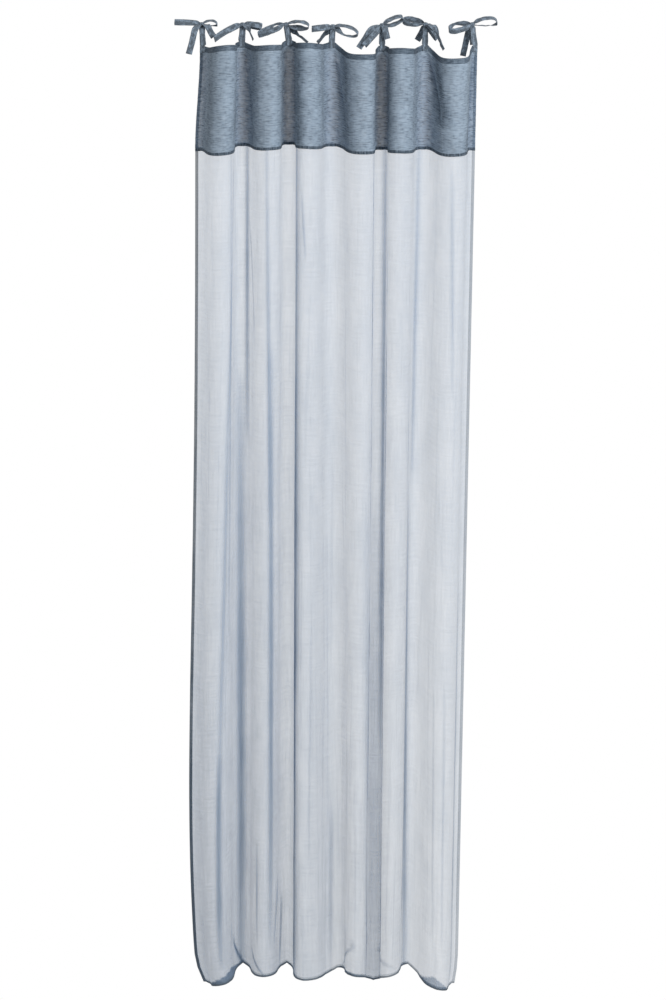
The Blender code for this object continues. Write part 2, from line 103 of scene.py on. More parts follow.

# Bands of painted shade on the header's folds, and creases in the voile, by their flat places:
# across and down at the top end, across and down at the foot end, half the width, and how dense
HEADER_SHADE_BANDS = (
    (0.060, -0.03, 0.075, 0.32, 0.020, 0.4),
    (0.285, -0.03, 0.285, 0.32, 0.026, 0.1),
    (0.555, -0.03, 0.550, 0.32, 0.018, 0.9),
    (0.750, -0.03, 0.768, 0.32, 0.022, 0.6),
    (0.990, -0.03, 0.990, 0.32, 0.030, 0.4),
    (1.195, -0.02, 1.275, 0.21, 0.015, 1.0),
    (1.395, 0.03, 1.310, 0.34, 0.016, 0.8),
)
VOILE_CREASES = (
    (0.250, -0.15, 0.247, 0.80, 0.007, 1.0),
    (0.535, -0.25, 0.530, 1.50, 0.022, 1.0),
    (0.944, -0.25, 0.950, 1.60, 0.010, 1.0),
    (0.154, -0.10, 0.161, 1.30, 0.006, 0.5),
    (0.150, 0.50, 0.127, 1.80, 0.008, 0.6),
    (0.345, -0.10, 0.360, 1.00, 0.006, 0.7),
    (0.362, 0.50, 0.370, 2.15, 0.010, 1.0),
    (1.156, -0.10, 1.150, 0.90, 0.008, 0.7),
    (0.229, 0.60, 0.229, 2.40, 0.013, 1.0),
    (0.520, 0.60, 0.530, 2.50, 0.022, 1.0),
    (0.838, 0.90, 0.880, 2.19, 0.020, 0.4),
    (0.933, 0.90, 0.933, 2.60, 0.026, 0.6),
    (1.120, 0.90, 1.157, 2.35, 0.015, 1.0),
    (1.355, 1.10, 1.362, 2.25, 0.012, 0.8),
    (0.175, 0.02, 0.145, 0.75, 0.005, 0.4),
    (0.258, 0.20, 0.300, 0.50, 0.004, 0.6),
    (0.561, 0.11, 0.575, 0.30, 0.004, 0.6),
    (1.277, 0.02, 1.291, 0.65, 0.006, 0.6),
    (0.597, 1.20, 0.590, 1.90, 0.004, 0.3),
    (1.250, 1.40, 1.263, 2.12, 0.004, 0.4),
    (1.284, 1.40, 1.289, 2.12, 0.004, 0.5),
    (0.128, 1.60, 0.124, 2.18, 0.009, 0.9),
    (0.322, 1.86, 0.325, 2.13, 0.004, 0.6),
    (0.422, 1.95, 0.383, 2.13, 0.004, 0.7),
    (0.450, 2.02, 0.439, 2.22, 0.006, 0.8),
    (0.687, 1.75, 0.681, 2.22, 0.007, 0.5),
    (0.175, 2.10, 0.235, 2.217, 0.005, 0.9),
    (0.286, 2.15, 0.352, 2.217, 0.005, 0.8),
    (0.833, 2.12, 0.708, 2.217, 0.008, 0.6),
    (0.883, 2.10, 1.065, 2.20, 0.011, 0.5),
)

# Where the foot's edge counts as turned up on itself, which only makes the voile denser there,
# across the flat cloth: start, highest place, end, and how far up it reaches there
TURNED_UP = (
    (0.030, 0.165, 0.240, 0.030),
    (0.700, 0.800, 0.930, 0.010),
    (1.200, 1.270, 1.340, 0.032),
)

# How far above its foot the voile has closer mesh lines, for its creases and turned edge, and
# how softly that edge ends
FOOT_DETAIL = 0.075
TURNED_EDGE = 0.003

# Where the cloths are free to crumple: away from the ties, the top hem and the seam
VALLEY_REACH = 0.045
HEADER_FREE = 0.02
VOILE_FREE = 0.05

# Pitches of the crumples over the flat cloths, across and down
PUCKERS = (0.011, 0.0045)
HEADER_CRINKLES = (0.009, 0.05)
HEADER_BULGES = (0.030, 0.09)
VOILE_FOLDS = (0.016, 0.35)
VOILE_CRINKLES = (0.007, 0.12)

# Long creases of the voile: least and greatest half width and length, and their lean
CREASE_WIDTHS = (0.002, 0.006)
CREASE_LENGTHS = (0.25, 1.1)
CREASE_LEAN = 0.012

# Lines of stitches: how far in from the turned edges, and up from the header's lower edge
TOP_STITCH = 0.0015
HEM_STITCH = 0.0012
SEAM_STITCH = 0.004

# Heights of the linen that the seam binds, of its thick edge and of the foot's outermost turn
SEAM_BAND = 0.0080
SEAM_EDGE = 0.006
FOOT_EDGE = 0.005

# Colours that the cloths' own colours are mixed with: the valleys' painted light, the seam's
# dark band, which is partly painted shadow, the painted shade low on the voile, and the thread's twist
VALLEY_PAINTED_LIGHT = "7488A2"
SEAM_DARK_AND_SHADOW = "36424E"
VOILE_FOOT_PAINTED_SHADE = "8795A4"
THREAD_SHADE = "3E4851"

# The ties' way round the pole, as in the solids
POLE_RADIUS = 0.011
POLE_CLEARANCE = 0.0015
TIE_LAP = 0.016
KNOT_SIZE = 0.0115
KNOT_FULLNESS = 1.25
KNOT_PINCH = 0.006
PINCH_LENGTH = 0.016
KNOT_FLATTEN = 0.8
KNOT_SEAT = 0.4
TOUCH_GAP = 0.0003
KNOT_CLEAR_ANGLE = 18
FRONT_LEAVE_ANGLE = -20
BACK_MEET_ANGLE = 200
HEM_SWING = (0.25, 0.45)
LOOP_FULLNESS = 0.65
TAIL_OVER_ANGLES = (105, 140, 178)
TAIL_OVER_SHARES = (0.08, 0.2, 0.4)
TAIL_BULGE = (0.45, 0.18)
STRANDS_APART = 3.0
STRAP_GATHER = 0.22
THREAD_ROOM = 0.0002

# The ribbons' pleats at the knot, and their waves beyond it: where these start, over what length
# they grow, and their pitch across and along. Then the turn of ribbon round the knot.
PLEAT_HEIGHT = 0.0011
PLEAT_REACH = 0.016
WAVE_HEIGHT = 0.0013
WAVE_START = 0.008
WAVE_GROWTH = 0.015
WAVES = (0.45, 0.009)
KNOT_ROUND = 0.30
KNOT_RIPPLE = 0.05
KNOT_WIDTH = 0.85
KNOT_TILT = 0.4
KNOT_ROWS = 33
STRAP_ROWS = 90
LOOP_ROWS = 44
TAIL_ROWS = 30
RIBBON_COLUMNS = 9

# One bow for each tie: its knot, its loops and its tails. Angles are in degrees. A knot has its
# angle, up from the pole's front, and its shift along the pole. A loop has its aim, from +X
# towards +Z, its reach, opening, roll, droop and how far forward it leans; a roll of 0 shows it
# edge-on and open, and 90 shows it face-on and flat. A tail has its end, across and up from the
# knot, its depth behind the pole's axis and its turn, which shows it face-on at 0.
BOWS = (
    ((80, -0.003),
     ((172, 0.074, 0.01, 76, 0.006, 0.006), (8, 0.043, 0.015, 35, 0.006, 0.004)),
     (((-0.034, -0.085), -0.026, 8), ((0.033, -0.038), -0.019, 15))),
    ((62, 0.003),
     ((196, 0.078, 0.007, 78, 0.022, 0.02), (-7, 0.054, 0.011, 75, 0.002, 0.014)),
     (((0.03, -0.045), -0.025, 78), ((-0.003, -0.052), 0.024, 5))),
    ((70, -0.007),
     ((198, 0.08, 0.014, 45, 0.008, 0.022), (-7, 0.062, 0.02, 42, 0.002, 0.02)),
     (((0.057, -0.043), 0.024, 62), ((0.007, -0.046), 0.026, 5))),
    ((28, 0.002),
     ((185, 0.057, 0.008, 80, 0.002, 0.004), (-14, 0.07, 0.022, 45, 0.004, 0.006)),
     (((-0.041, -0.036), 0.024, 62), ((-0.003, -0.045), 0.026, 5))),
    ((44, 0.0),
     ((20, 0.06, 0.018, 50, 0.0, 0.004), (227, 0.072, 0.01, 72, 0.004, 0.014)),
     (((-0.063, -0.062), -0.018, 8), ((0.014, -0.039), -0.024, 15))),
    ((68, 0.001),
     ((171, 0.061, 0.022, 42, 0.0, 0.004), (-38, 0.04, 0.012, 68, 0.02, 0.027)),
     (((0.048, -0.074), -0.034, 74), ((-0.021, -0.037), 0.024, 8))),
    ((82, -0.006),
     ((195, 0.067, 0.026, 48, 0.003, 0.024), (6, 0.068, 0.026, 45, 0.002, 0.006)),
     (((-0.024, -0.08), 0.026, 22), ((0.004, -0.05), 0.024, 5))),
)

# The camera stands level with the curtain's middle, square to it. A lamp has its place, its
# width and its power, and is turned to the curtain's middle.
CAMERA_PLACE = (-0.0154, -6.1, -1.271)
VIEW_HEIGHT = 2.71
LAMPS = {"key": ((2.7, -4.2, 0.6), 1.4, 190), "fill": ((-3.0, -4.6, -0.8), 2.4, 22)}
LAMP_AIM = (0.0, 0.0, -1.2)
WORLD_STRENGTH = 0.42
FLOOR_LEVEL = -3.0
FLOOR_REACH = 6.0
FLOOR_BACK = 1.5


def linear(code):
    """Linear colour of an sRGB hex code."""
    parts = [int(code[place:place + 2], 16) / 255 for place in (0, 2, 4)]
    return [part / 12.92 if part <= 0.04045 else ((part + 0.055) / 1.055) ** 2.4 for part in parts]


def length_property(name, description, default):
    """A size in metres that a user may change."""
    return FloatProperty(
        name=name, description=description, default=default, min=0.0, unit="LENGTH", precision=4)


def colour_property(name, description, code):
    """A cloth colour that a user may change."""
    return FloatVectorProperty(
        name=name, description=description, default=linear(code), subtype="COLOR", min=0.0, max=1.0)


class CurtainSizes(bpy.types.PropertyGroup):
    """Flat sizes of the curtain's cloths and ribbons"""

    width: length_property("Width", "Flat width of both cloths", 1.400)
    header_drop: length_property("Header drop", "Flat height of the linen header", 0.283)
    body_drop: length_property("Body drop", "Flat height of the voile below the seam", 2.217)
    seam_lap: length_property("Seam lap", "How far the voile runs up behind the header", 0.012)
    top_hem: length_property("Top hem", "Height of the header's turned top edge", 0.015)
    side_hem: length_property("Side hem", "Width of the turned side edges", 0.008)
    foot_hem: length_property("Foot hem", "Height of the voile's turned foot", 0.009)
    header_cloth: length_property("Header cloth", "Thickness of the linen", 0.0008)
    body_cloth: length_property("Body cloth", "Thickness of the voile", 0.0005)
    hem_cloth: length_property("Hem cloth", "Thickness of a turned hem", 0.0015)
    body_setback: length_property("Body setback", "From the linen's middle back to the voile's", 0.00205)
    ribbon_width: length_property("Ribbon width", "Width of the tie ribbons", 0.017)
    ribbon_cloth: length_property("Ribbon cloth", "Thickness of the tie ribbons", 0.0008)
    stitch_pitch: length_property("Stitch pitch", "From one stitch to the next", 0.0036)
    stitch_length: length_property("Stitch length", "Length of thread that shows", 0.0026)
    thread: length_property("Thread", "Thickness of the sewing thread", 0.0005)


class CurtainCreases(bpy.types.PropertyGroup):
    """How crumpled the cloths are"""

    header_columns: IntProperty(
        name="Header columns", description="Mesh lines across the header", default=330)
    header_rows: IntProperty(name="Header rows", description="Mesh lines down the header", default=144)
    body_columns: IntProperty(name="Body columns", description="Mesh lines across the voile", default=560)
    body_rows: IntProperty(name="Body rows", description="Mesh lines down the voile", default=68)
    foot_rows: IntProperty(name="Foot rows", description="Closer mesh lines above the foot", default=18)
    long_creases: IntProperty(name="Long creases", description="Creases that run down the voile", default=85)
    crease_height: length_property("Crease height", "How far a long crease stands proud", 0.0012)
    crinkle_height: length_property("Crinkle height", "How far the fine crinkles stand proud", 0.0005)
    pucker_height: length_property("Pucker height", "How far the header puckers below the ties", 0.0011)
    seed: IntProperty(name="Seed", description="Which crumple is drawn", default=7)


class CurtainColours(bpy.types.PropertyGroup):
    """Colours of the cloths"""

    linen: colour_property("Linen", "Header where it is lit", "9AABBC")
    linen_dark: colour_property("Linen slubs", "Header's thick threads and hems", "475665")
    voile: colour_property("Voile", "Threads of the sheer body", "8DA3BC")
    voile_hem: colour_property("Voile hems", "Turned edges of the sheer body", "56636F")
    ribbon: colour_property("Ribbon", "Tie ribbons", "8292A2")
    thread: colour_property("Thread", "Sewing thread", "66737F")


def ease(value):
    """Smooth step from 0 to 1."""
    value = np.clip(value, 0.0, 1.0)
    return value * value * (3.0 - 2.0 * value)


def wall_headings(swing, bend):
    """Heading of the cloth at even steps along one wall, from the fold back to its front."""
    phase = (np.arange(WALL_STEPS) + 0.5) * math.pi / WALL_STEPS
    return swing * np.sin(phase + VALLEY_TIGHTNESS * np.sin(phase)) ** bend


def wall_table(bend):
    """How far a wall runs sideways and forwards for each swing of its heading."""
    swings = np.linspace(0.0, 2.8, 561)
    headings = swings[:, None] * wall_headings(1.0, bend)[None, :]
    runs, rises = np.cos(headings).mean(axis=1), np.sin(headings).mean(axis=1)
    rising = slice(0, int(np.argmax(rises)) + 1)
    return swings[rising], runs[rising], rises[rising]


def fold_walls(spacing, wall_arcs, table):
    """Swings of the two walls of a fold that spans the spacing with all its cloth."""
    swings, runs, rises = table
    shallow = 0.0
    deep = min(wall_arcs) * rises[-1]
    for _ in range(40):
        depth = (shallow + deep) / 2
        if sum(arc * np.interp(depth / arc, rises, runs) for arc in wall_arcs) > spacing:
            shallow = depth
        else:
            deep = depth
    return [np.interp(depth / arc, rises, swings) for arc in wall_arcs]


def between(top, foot, level):
    """Values part of the way from the top's to the foot's."""
    return np.array(top) * (1.0 - level) + np.array(foot) * level


def section(sizes, level):
    """Plan of the gathers at a level from 0 (top edge) to 1 (foot): arc, x and y of the cloth."""
    spacings = between(TIE_SPACINGS, HEM_SPACINGS, level)
    shares = between(TOP_SHARES, FOOT_SHARES, level)
    tuck = max(0.0, (level - CORNER_LEVEL) / (1.0 - CORNER_LEVEL)) ** 2
    swell = SIDE_FLARE * float(ease(level * (sizes.header_drop + sizes.body_drop) / sizes.header_drop))
    swell += SIDE_BELLY * math.sin(math.pi * level ** BELLY_LEVEL) - CORNER_TUCKS[0] * tuck
    spacings[0] += swell
    spacings[-1] -= CORNER_TUCKS[1] * tuck
    start = -sum(TIE_SPACINGS) / 2 + HEM_SHIFT * level - swell
    fold_arc = sizes.width / len(spacings)
    bend = TOP_BEND + (FOOT_BEND - TOP_BEND) * level
    table = wall_table(bend)
    steps, headings = [], []
    for fold, spacing in enumerate(spacings):
        wall_arcs = (fold_arc * shares[fold], fold_arc * (1.0 - shares[fold]))
        left, right = fold_walls(spacing, wall_arcs, table)
        steps += [np.full(WALL_STEPS, arc / WALL_STEPS) for arc in wall_arcs]
        headings += [wall_headings(left, bend), -wall_headings(right, bend)[::-1]]
    steps, headings = np.concatenate(steps), np.concatenate(headings)
    arcs = np.concatenate(([0.0], np.cumsum(steps)))
    xs = start + np.concatenate(([0.0], np.cumsum(np.cos(headings) * steps)))
    ys = -np.concatenate(([0.0], np.cumsum(np.sin(headings) * steps)))
    leans = np.repeat(between(TOP_LEANS, FOOT_LEANS, level), 2 * WALL_STEPS)
    leans = np.concatenate(([0.0], leans))
    return arcs, xs + leans * ys, ys


def tie_places(sizes):
    """Middle of each tie along the flat top edge; the end ties are flush with the sides."""
    places = np.linspace(0.0, sizes.width, len(TIE_DROPS))
    places[0] = sizes.ribbon_width / 2
    places[-1] = sizes.width - sizes.ribbon_width / 2
    return places


def heights(sizes, across, down):
    """Height of the cloth across one level."""
    places = tie_places(sizes)
    seam = float(ease(down / sizes.header_drop))
    foot = float(ease((down - sizes.header_drop) / sizes.body_drop))
    half = sizes.ribbon_width / 2 * (1.0 - 0.9 * foot)
    held = np.sort(np.concatenate((places - half, places + half)))
    back_drop = np.interp(across, held, np.repeat(np.array(TIE_DROPS) + foot * np.array(FOOT_DROPS), 2))
    folds = len(TIE_DROPS) - 1
    fold = np.clip((across / (sizes.width / folds)).astype(int), 0, folds - 1)
    start, end = held[2 * fold + 1], held[2 * fold + 2]
    place = np.clip((across - start) / (end - start), 0.0, 1.0)
    sags = np.array(TOP_SAGS) * (1 - seam) + np.array(SEAM_SAGS) * (seam - foot) + np.array(FOOT_SAGS) * foot
    power = TOP_SAG_POWER * (1 - seam) + SEAM_SAG_POWER * (seam - foot) + FOOT_SAG_POWER * foot
    return -back_drop - sags[fold] * np.sin(math.pi * place) ** power - down


def drape(sizes, across, downs, front):
    """Grid of points of the hanging cloth, moved off it to its front, and its plan normals."""
    across = np.asarray(across, float)
    levels = np.linspace(0.0, 1.0, LEVELS)
    plans = [section(sizes, level) for level in levels]
    xs = np.array([np.interp(across, arcs, x) for arcs, x, y in plans])
    ys = np.array([np.interp(across, arcs, y) for arcs, x, y in plans])
    nudge = sizes.ribbon_width / 8
    runs, rises = [], []
    for arcs, x, y in plans:
        ahead, behind = np.minimum(across + nudge, arcs[-1]), np.maximum(across - nudge, 0.0)
        runs.append(np.interp(ahead, arcs, x) - np.interp(behind, arcs, x))
        rises.append(np.interp(ahead, arcs, y) - np.interp(behind, arcs, y))
    runs, rises = np.array(runs), np.array(rises)
    total = sizes.header_drop + sizes.body_drop
    points, normals = [], []
    for down in downs:
        spot = min(max(down / total, 0.0), 1.0) * (LEVELS - 1)
        low = min(int(spot), LEVELS - 2)
        blend = spot - low
        x, y, run, rise = (
            table[low] * (1 - blend) + table[low + 1] * blend for table in (xs, ys, runs, rises))
        length = np.hypot(run, rise)
        normal = np.stack((rise / length, -run / length, np.zeros_like(x)), axis=-1)
        place = np.stack((x, y, heights(sizes, across, down)), axis=-1)
        points.append(place + front * normal)
        normals.append(normal)
    return np.array(points), np.array(normals)


def lumps(rng, across, downs, pitch_across, pitch_down):
    """Smooth random field from -1 to 1, with lumps of the given pitch."""
    u = np.asarray(across) / pitch_across
    v = np.asarray(downs) / pitch_down
    v = v - v.min()
    grid = rng.uniform(-1.0, 1.0, (int(v.max()) + 3, int(u.max()) + 3))
    column, row = u.astype(int), v.astype(int)
    part_u, part_v = ease(u - column)[None, :], ease(v - row)[:, None]
    near = grid[row][:, column] * (1 - part_u) + grid[row][:, column + 1] * part_u
    far = grid[row + 1][:, column] * (1 - part_u) + grid[row + 1][:, column + 1] * part_u
    return near * (1 - part_v) + far * part_v


def flat_field(across, downs):
    """Flat places as a row and a column, and an empty field over both."""
    across, downs = np.asarray(across)[None, :], np.asarray(downs)[:, None]
    return across, downs, np.zeros((downs.shape[0], across.shape[1]))


def ridge(across, line, wide):
    """Rounded ridge, 1 high on its line."""
    return np.exp(-(((across - line) / wide) ** 2))


def long_creases(rng, across, downs, count):
    """Field of single creases that run down the cloth and fade out at both ends."""
    across, downs, field = flat_field(across, downs)
    for _ in range(count):
        start = rng.uniform(across.min(), across.max())
        middle = downs.max() * rng.uniform() ** 0.6
        half = rng.uniform(*CREASE_LENGTHS) / 2
        wide = rng.uniform(*CREASE_WIDTHS)
        lean = rng.normal(0.0, CREASE_LEAN)
        sway = rng.uniform(-1.0, 1.0) * wide
        along = (downs - middle) / half
        line = start + lean * (downs - middle) + sway * np.sin(along * 2.2)
        fade = np.clip(1.0 - along * along, 0.0, 1.0) ** 1.3
        height = rng.choice((-1.0, 1.0)) * rng.uniform(0.3, 1.0)
        field += height * fade * ridge(across, line, wide)
    return field


def drag_lines(sizes, across, downs):
    """Grooves and ridges that run down the header from its ties."""
    across, downs, field = flat_field(across, downs)
    places = tie_places(sizes)
    fold_arc = sizes.width / (len(places) - 1)
    for tie, drift, reach, width, height in DRAG_LINES:
        along = np.clip((downs - sizes.top_hem) / reach, 0.0, 1.0)
        line = places[tie - 1] + drift * fold_arc * along
        wide = width * (0.5 + along)
        fade = np.sin(math.pi * along) ** 0.7
        field += height * fade * ridge(across, line, wide)
    return field


def drawn_lines(across, downs, lines):
    """Field of the lines that catch the eye, each faded out at both its ends."""
    across, downs, field = flat_field(across, downs)
    for start, top, end, foot, wide, density in lines:
        along = np.clip((downs - top) / (foot - top), 0.0, 1.0)
        line = start + (end - start) * along
        field += density * np.sin(math.pi * along) ** 0.5 * ridge(across, line, wide)
    return field


def turned_up(sizes, across, downs):
    """1 where the foot's edge counts as turned up over the cloth, which only makes the voile denser there.
    """
    across, downs, field = flat_field(across, downs)
    for start, top, end, reach in TURNED_UP:
        rise, fall = (across - start) / (top - start), (end - across) / (end - top)
        share = np.clip(np.minimum(rise, fall), 0.0, 1.0)
        field += ease((downs - sizes.body_drop + reach * share) / TURNED_EDGE) * (share > 0.0)
    return field


def turned_away(normals):
    """1 where the cloth is edge-on to the curtain's front, 0 where it faces it."""
    return 1.0 - np.abs(normals[..., 1])


def new_piece(name, data):
    """Object at the origin of the scene that holds the mesh, lamp or camera."""
    piece = bpy.data.objects.new(name, data)
    bpy.context.scene.collection.objects.link(piece)
    return piece


def grid_mesh(name, points, flat):
    """Open sheet through a grid of points, with its flat place kept as a UV map."""
    rows, columns = points.shape[:2]
    first = (np.arange(rows - 1)[:, None] * columns + np.arange(columns - 1)[None, :]).ravel()
    faces = np.stack((first, first + columns, first + columns + 1, first + 1), axis=-1)
    mesh = bpy.data.meshes.new(name)
    mesh.from_pydata(points.reshape(-1, 3), [], faces)
    layer = mesh.uv_layers.new(name="flat")
    layer.data.foreach_set("uv", flat.reshape(-1, 2)[faces.ravel()].astype(np.float32).ravel())
    mesh.shade_smooth()
    return mesh


def plain_mesh(piece):
    """Swap the piece's mesh for its evaluated form and drop its modifiers."""
    graph = bpy.context.evaluated_depsgraph_get()
    mesh = bpy.data.meshes.new_from_object(piece.evaluated_get(graph))
    piece.modifiers.clear()
    piece.data = mesh


def thicken(piece, sizes, cloth, across, ends):
    """Give a sheet the cloth's thickness, and the hems at its sides and ends theirs."""
    sides = np.minimum(across, sizes.width - across) <= sizes.side_hem
    hem = np.flatnonzero(sides[None, :] | ends[:, None])
    piece.vertex_groups.new(name="hem").add([int(index) for index in hem], 1.0, "REPLACE")
    wall = piece.modifiers.new("cloth", "SOLIDIFY")
    wall.thickness = sizes.hem_cloth
    wall.offset = 0.0
    wall.vertex_group = "hem"
    wall.thickness_vertex_group = cloth / sizes.hem_cloth
    plain_mesh(piece)


def finish_sheet(piece, material, nodes):
    """Give a sheet its material and tell the frame what it is."""
    piece.data.materials.clear()
    piece.data.materials.append(material)
    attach(piece, "root")
    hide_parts(*nodes)


def add_node(tree, kind, inputs=(), **settings):
    """Add a node with its settings, and feed its inputs with values or other nodes' outputs."""
    node = tree.nodes.new(kind)
    for setting, value in settings.items():
        setattr(node, setting, value)
    for socket, value in inputs:
        if isinstance(value, bpy.types.NodeSocket):
            tree.links.new(value, node.inputs[socket])
        else:
            node.inputs[socket].default_value = value
    return node


def new_material(name):
    """Empty material with its Principled shader."""
    material = bpy.data.materials.new(name)
    material.use_nodes = True
    return material, material.node_tree, material.node_tree.nodes["Principled BSDF"]


def streaks(tree, vector, across_mm, down_mm, detail=2.0):
    """Noise over the flat cloth, with streaks of a real size in millimetres."""
    scaled = add_node(tree, "ShaderNodeVectorMath", (
        (0, vector), (1, (1000 / across_mm, 1000 / down_mm, 1.0))), operation="MULTIPLY")
    noise = add_node(tree, "ShaderNodeTexNoise", (
        ("Vector", scaled.outputs[0]), ("Scale", 1.0), ("Detail", detail), ("Roughness", 0.55)))
    return noise.outputs["Fac"]


def ranged(tree, value, low, high, to_low, to_high, smooth=False):
    """The value mapped from one range to another, and held there."""
    limits = zip(("From Min", "From Max", "To Min", "To Max"), (low, high, to_low, to_high))
    return add_node(
        tree, "ShaderNodeMapRange", (("Value", value), *limits),
        interpolation_type="SMOOTHSTEP" if smooth else "LINEAR").outputs["Result"]


def sums(tree, operation, first, second):
    """Arithmetic on two values."""
    return add_node(tree, "ShaderNodeMath", ((0, first), (1, second)), operation=operation).outputs[0]


def weighted(tree, *terms):
    """Sum of values, each times its weight, from pairs of a value and a number."""
    total = None
    for value, weight in terms:
        part = sums(tree, "MULTIPLY", value, weight)
        total = part if total is None else sums(tree, "ADD", total, part)
    return total


def blended(tree, share, first, second):
    """Colour between two others, each a linear colour or another node's output."""
    given = [colour if isinstance(colour, bpy.types.NodeSocket) else (*colour, 1.0)
             for colour in (first, second)]
    return add_node(
        tree, "ShaderNodeMix", ((0, share), (6, given[0]), (7, given[1])), data_type="RGBA").outputs[2]


def kept(tree, name):
    """Value stored on the mesh under the name."""
    return add_node(tree, "ShaderNodeAttribute", attribute_name=name).outputs["Fac"]


def strip(tree, value, low, high):
    """1 between two flat places and 0 outside them, with an edge about a thread wide."""
    soft = 0.0006
    start = ranged(tree, value, low - soft, low + soft, 0.0, 1.0)
    end = ranged(tree, value, high - soft, high + soft, 1.0, 0.0)
    return sums(tree, "MULTIPLY", start, end)


def side_hems(tree, sizes, u, right_share):
    """1 within the turned left edge, and the given share within the right one: the left hem's
    extra darkness, on the edge turned away from the key lamp, is painted shade.
    """
    left = strip(tree, u, -1.0, sizes.side_hem)
    right = strip(tree, u, sizes.width - sizes.side_hem, sizes.width + 1.0)
    return sums(tree, "MAXIMUM", left, sums(tree, "MULTIPLY", right, right_share))


def cloth_material(name):
    """New material, its nodes and shader, and the flat place on the cloth."""
    material, tree, shader = new_material(name)
    return material, tree, shader, add_node(tree, "ShaderNodeUVMap", uv_map="flat").outputs[0]


def matt_threads(tree, shader, shade, relief, roughness):
    """Give the shader its colour, its roughness and its relief: field, strength and height."""
    bump = add_node(tree, "ShaderNodeBump", zip(("Height", "Strength", "Distance"), relief))
    tree.links.new(shade, shader.inputs["Base Color"])
    tree.links.new(bump.outputs[0], shader.inputs["Normal"])
    shader.inputs["Roughness"].default_value = roughness


def linen_material(sizes, colours):
    """Slub linen, piece-dyed and washed: matt, with thick weft threads that catch the eye.

    The weave is finer than the render shows, so its threads are drawn about six times as
    coarse as the real 0.4 mm. Its hems are double and the seam below is bound, so they are
    denser and darker; the seam's darkest band is partly painted shadow, and the left hem's
    extra darkness is painted shade. In the valleys below the ties it is painted bluer, lighter
    and more see-through: painted light, for light bounced between the facing folds and shining
    through them. Where it turns edge-on to the front, and along the grooves of its drag lines
    and its shade bands, it is painted darker: painted shade.
    """
    material, tree, shader, flat = cloth_material("washed_slub_linen")
    parts = add_node(tree, "ShaderNodeSeparateXYZ", ((0, flat),)).outputs
    valley, turned, drag = (kept(tree, name) for name in ("valley", "turned", "drag"))
    weft = streaks(tree, flat, 26.0, 2.6)
    slubs = streaks(tree, flat, 17.0, 2.8, 1.0)
    warp = streaks(tree, flat, 3.0, 24.0)
    blotches = streaks(tree, flat, 60.0, 45.0)
    ticks = streaks(tree, flat, 4.5, 40.0, 0.0)
    weave = weighted(tree, (weft, 0.65), (warp, 0.35))
    dark_slubs = ranged(tree, slubs, 0.54, 0.66, 0.0, 1.0, smooth=True)
    light_slubs = ranged(tree, slubs, 0.34, 0.46, 1.0, 0.0, smooth=True)
    top_hem = strip(tree, parts[1], -1.0, sizes.top_hem)
    hem = sums(tree, "MAXIMUM", side_hems(tree, sizes, parts[0], 0.9), top_hem)
    fold_line = strip(tree, parts[1], sizes.top_hem - TOP_STITCH, sizes.top_hem + 0.001)
    seam = strip(tree, parts[1], sizes.header_drop - SEAM_BAND, 1.0)
    contrast = ranged(tree, valley, 0.0, 1.0, 0.32, 0.85)
    # Painted shade: the turned term darkens the linen on its fold walls, where it turns edge-on to the front
    tone = weighted(
        tree, (ranged(tree, weave, 0.36, 0.64, 0.0, 0.38), 1.0),
        (sums(tree, "MULTIPLY", dark_slubs, contrast), 0.9),
        (sums(tree, "MULTIPLY", light_slubs, contrast), -0.5),
        (ranged(tree, blotches, 0.35, 0.65, -0.1, 0.1), 1.0),
        # Painted shade: the drag term darkens the linen along the drag grooves and the shade bands
        (turned, 0.20), (valley, -0.05), (drag, 0.50), (hem, 0.55), (fold_line, 0.25))
    shade = blended(tree, tone, colours.linen, colours.linen_dark)
    # Painted light: the valleys below the ties are tinted bluer, for light bounced between the facing folds
    shade = blended(tree, sums(tree, "MULTIPLY", valley, 0.4), shade, linear(VALLEY_PAINTED_LIGHT))
    # The seam's near-black band is partly its bound, doubled cloth and partly painted shadow
    seam_dark = sums(tree, "MULTIPLY", seam, ranged(tree, ticks, 0.40, 0.58, 0.60, 1.0))
    dark = sums(tree, "MAXIMUM", seam_dark, sums(tree, "MULTIPLY", hem, 0.22))
    shade = blended(tree, dark, shade, linear(SEAM_DARK_AND_SHADOW))
    height = weighted(tree, (weave, 1.0), (dark_slubs, 0.5))
    # Painted light: the valley term makes the valleys more see-through, for light shining through them
    dense = weighted(
        tree, (weave, 1.0), (hem, 0.6), (seam, 0.6), (turned, 0.25), (drag, 0.2), (valley, -0.2))
    matt_threads(tree, shader, shade, (height, 0.9, 0.0014), 0.85)
    tree.links.new(ranged(tree, dense, 0.10, 0.62, 0.54, 0.93), shader.inputs["Alpha"])
    shader.inputs["Specular IOR Level"].default_value = 0.2
    shader.inputs["Sheen Weight"].default_value = 0.05
    return material


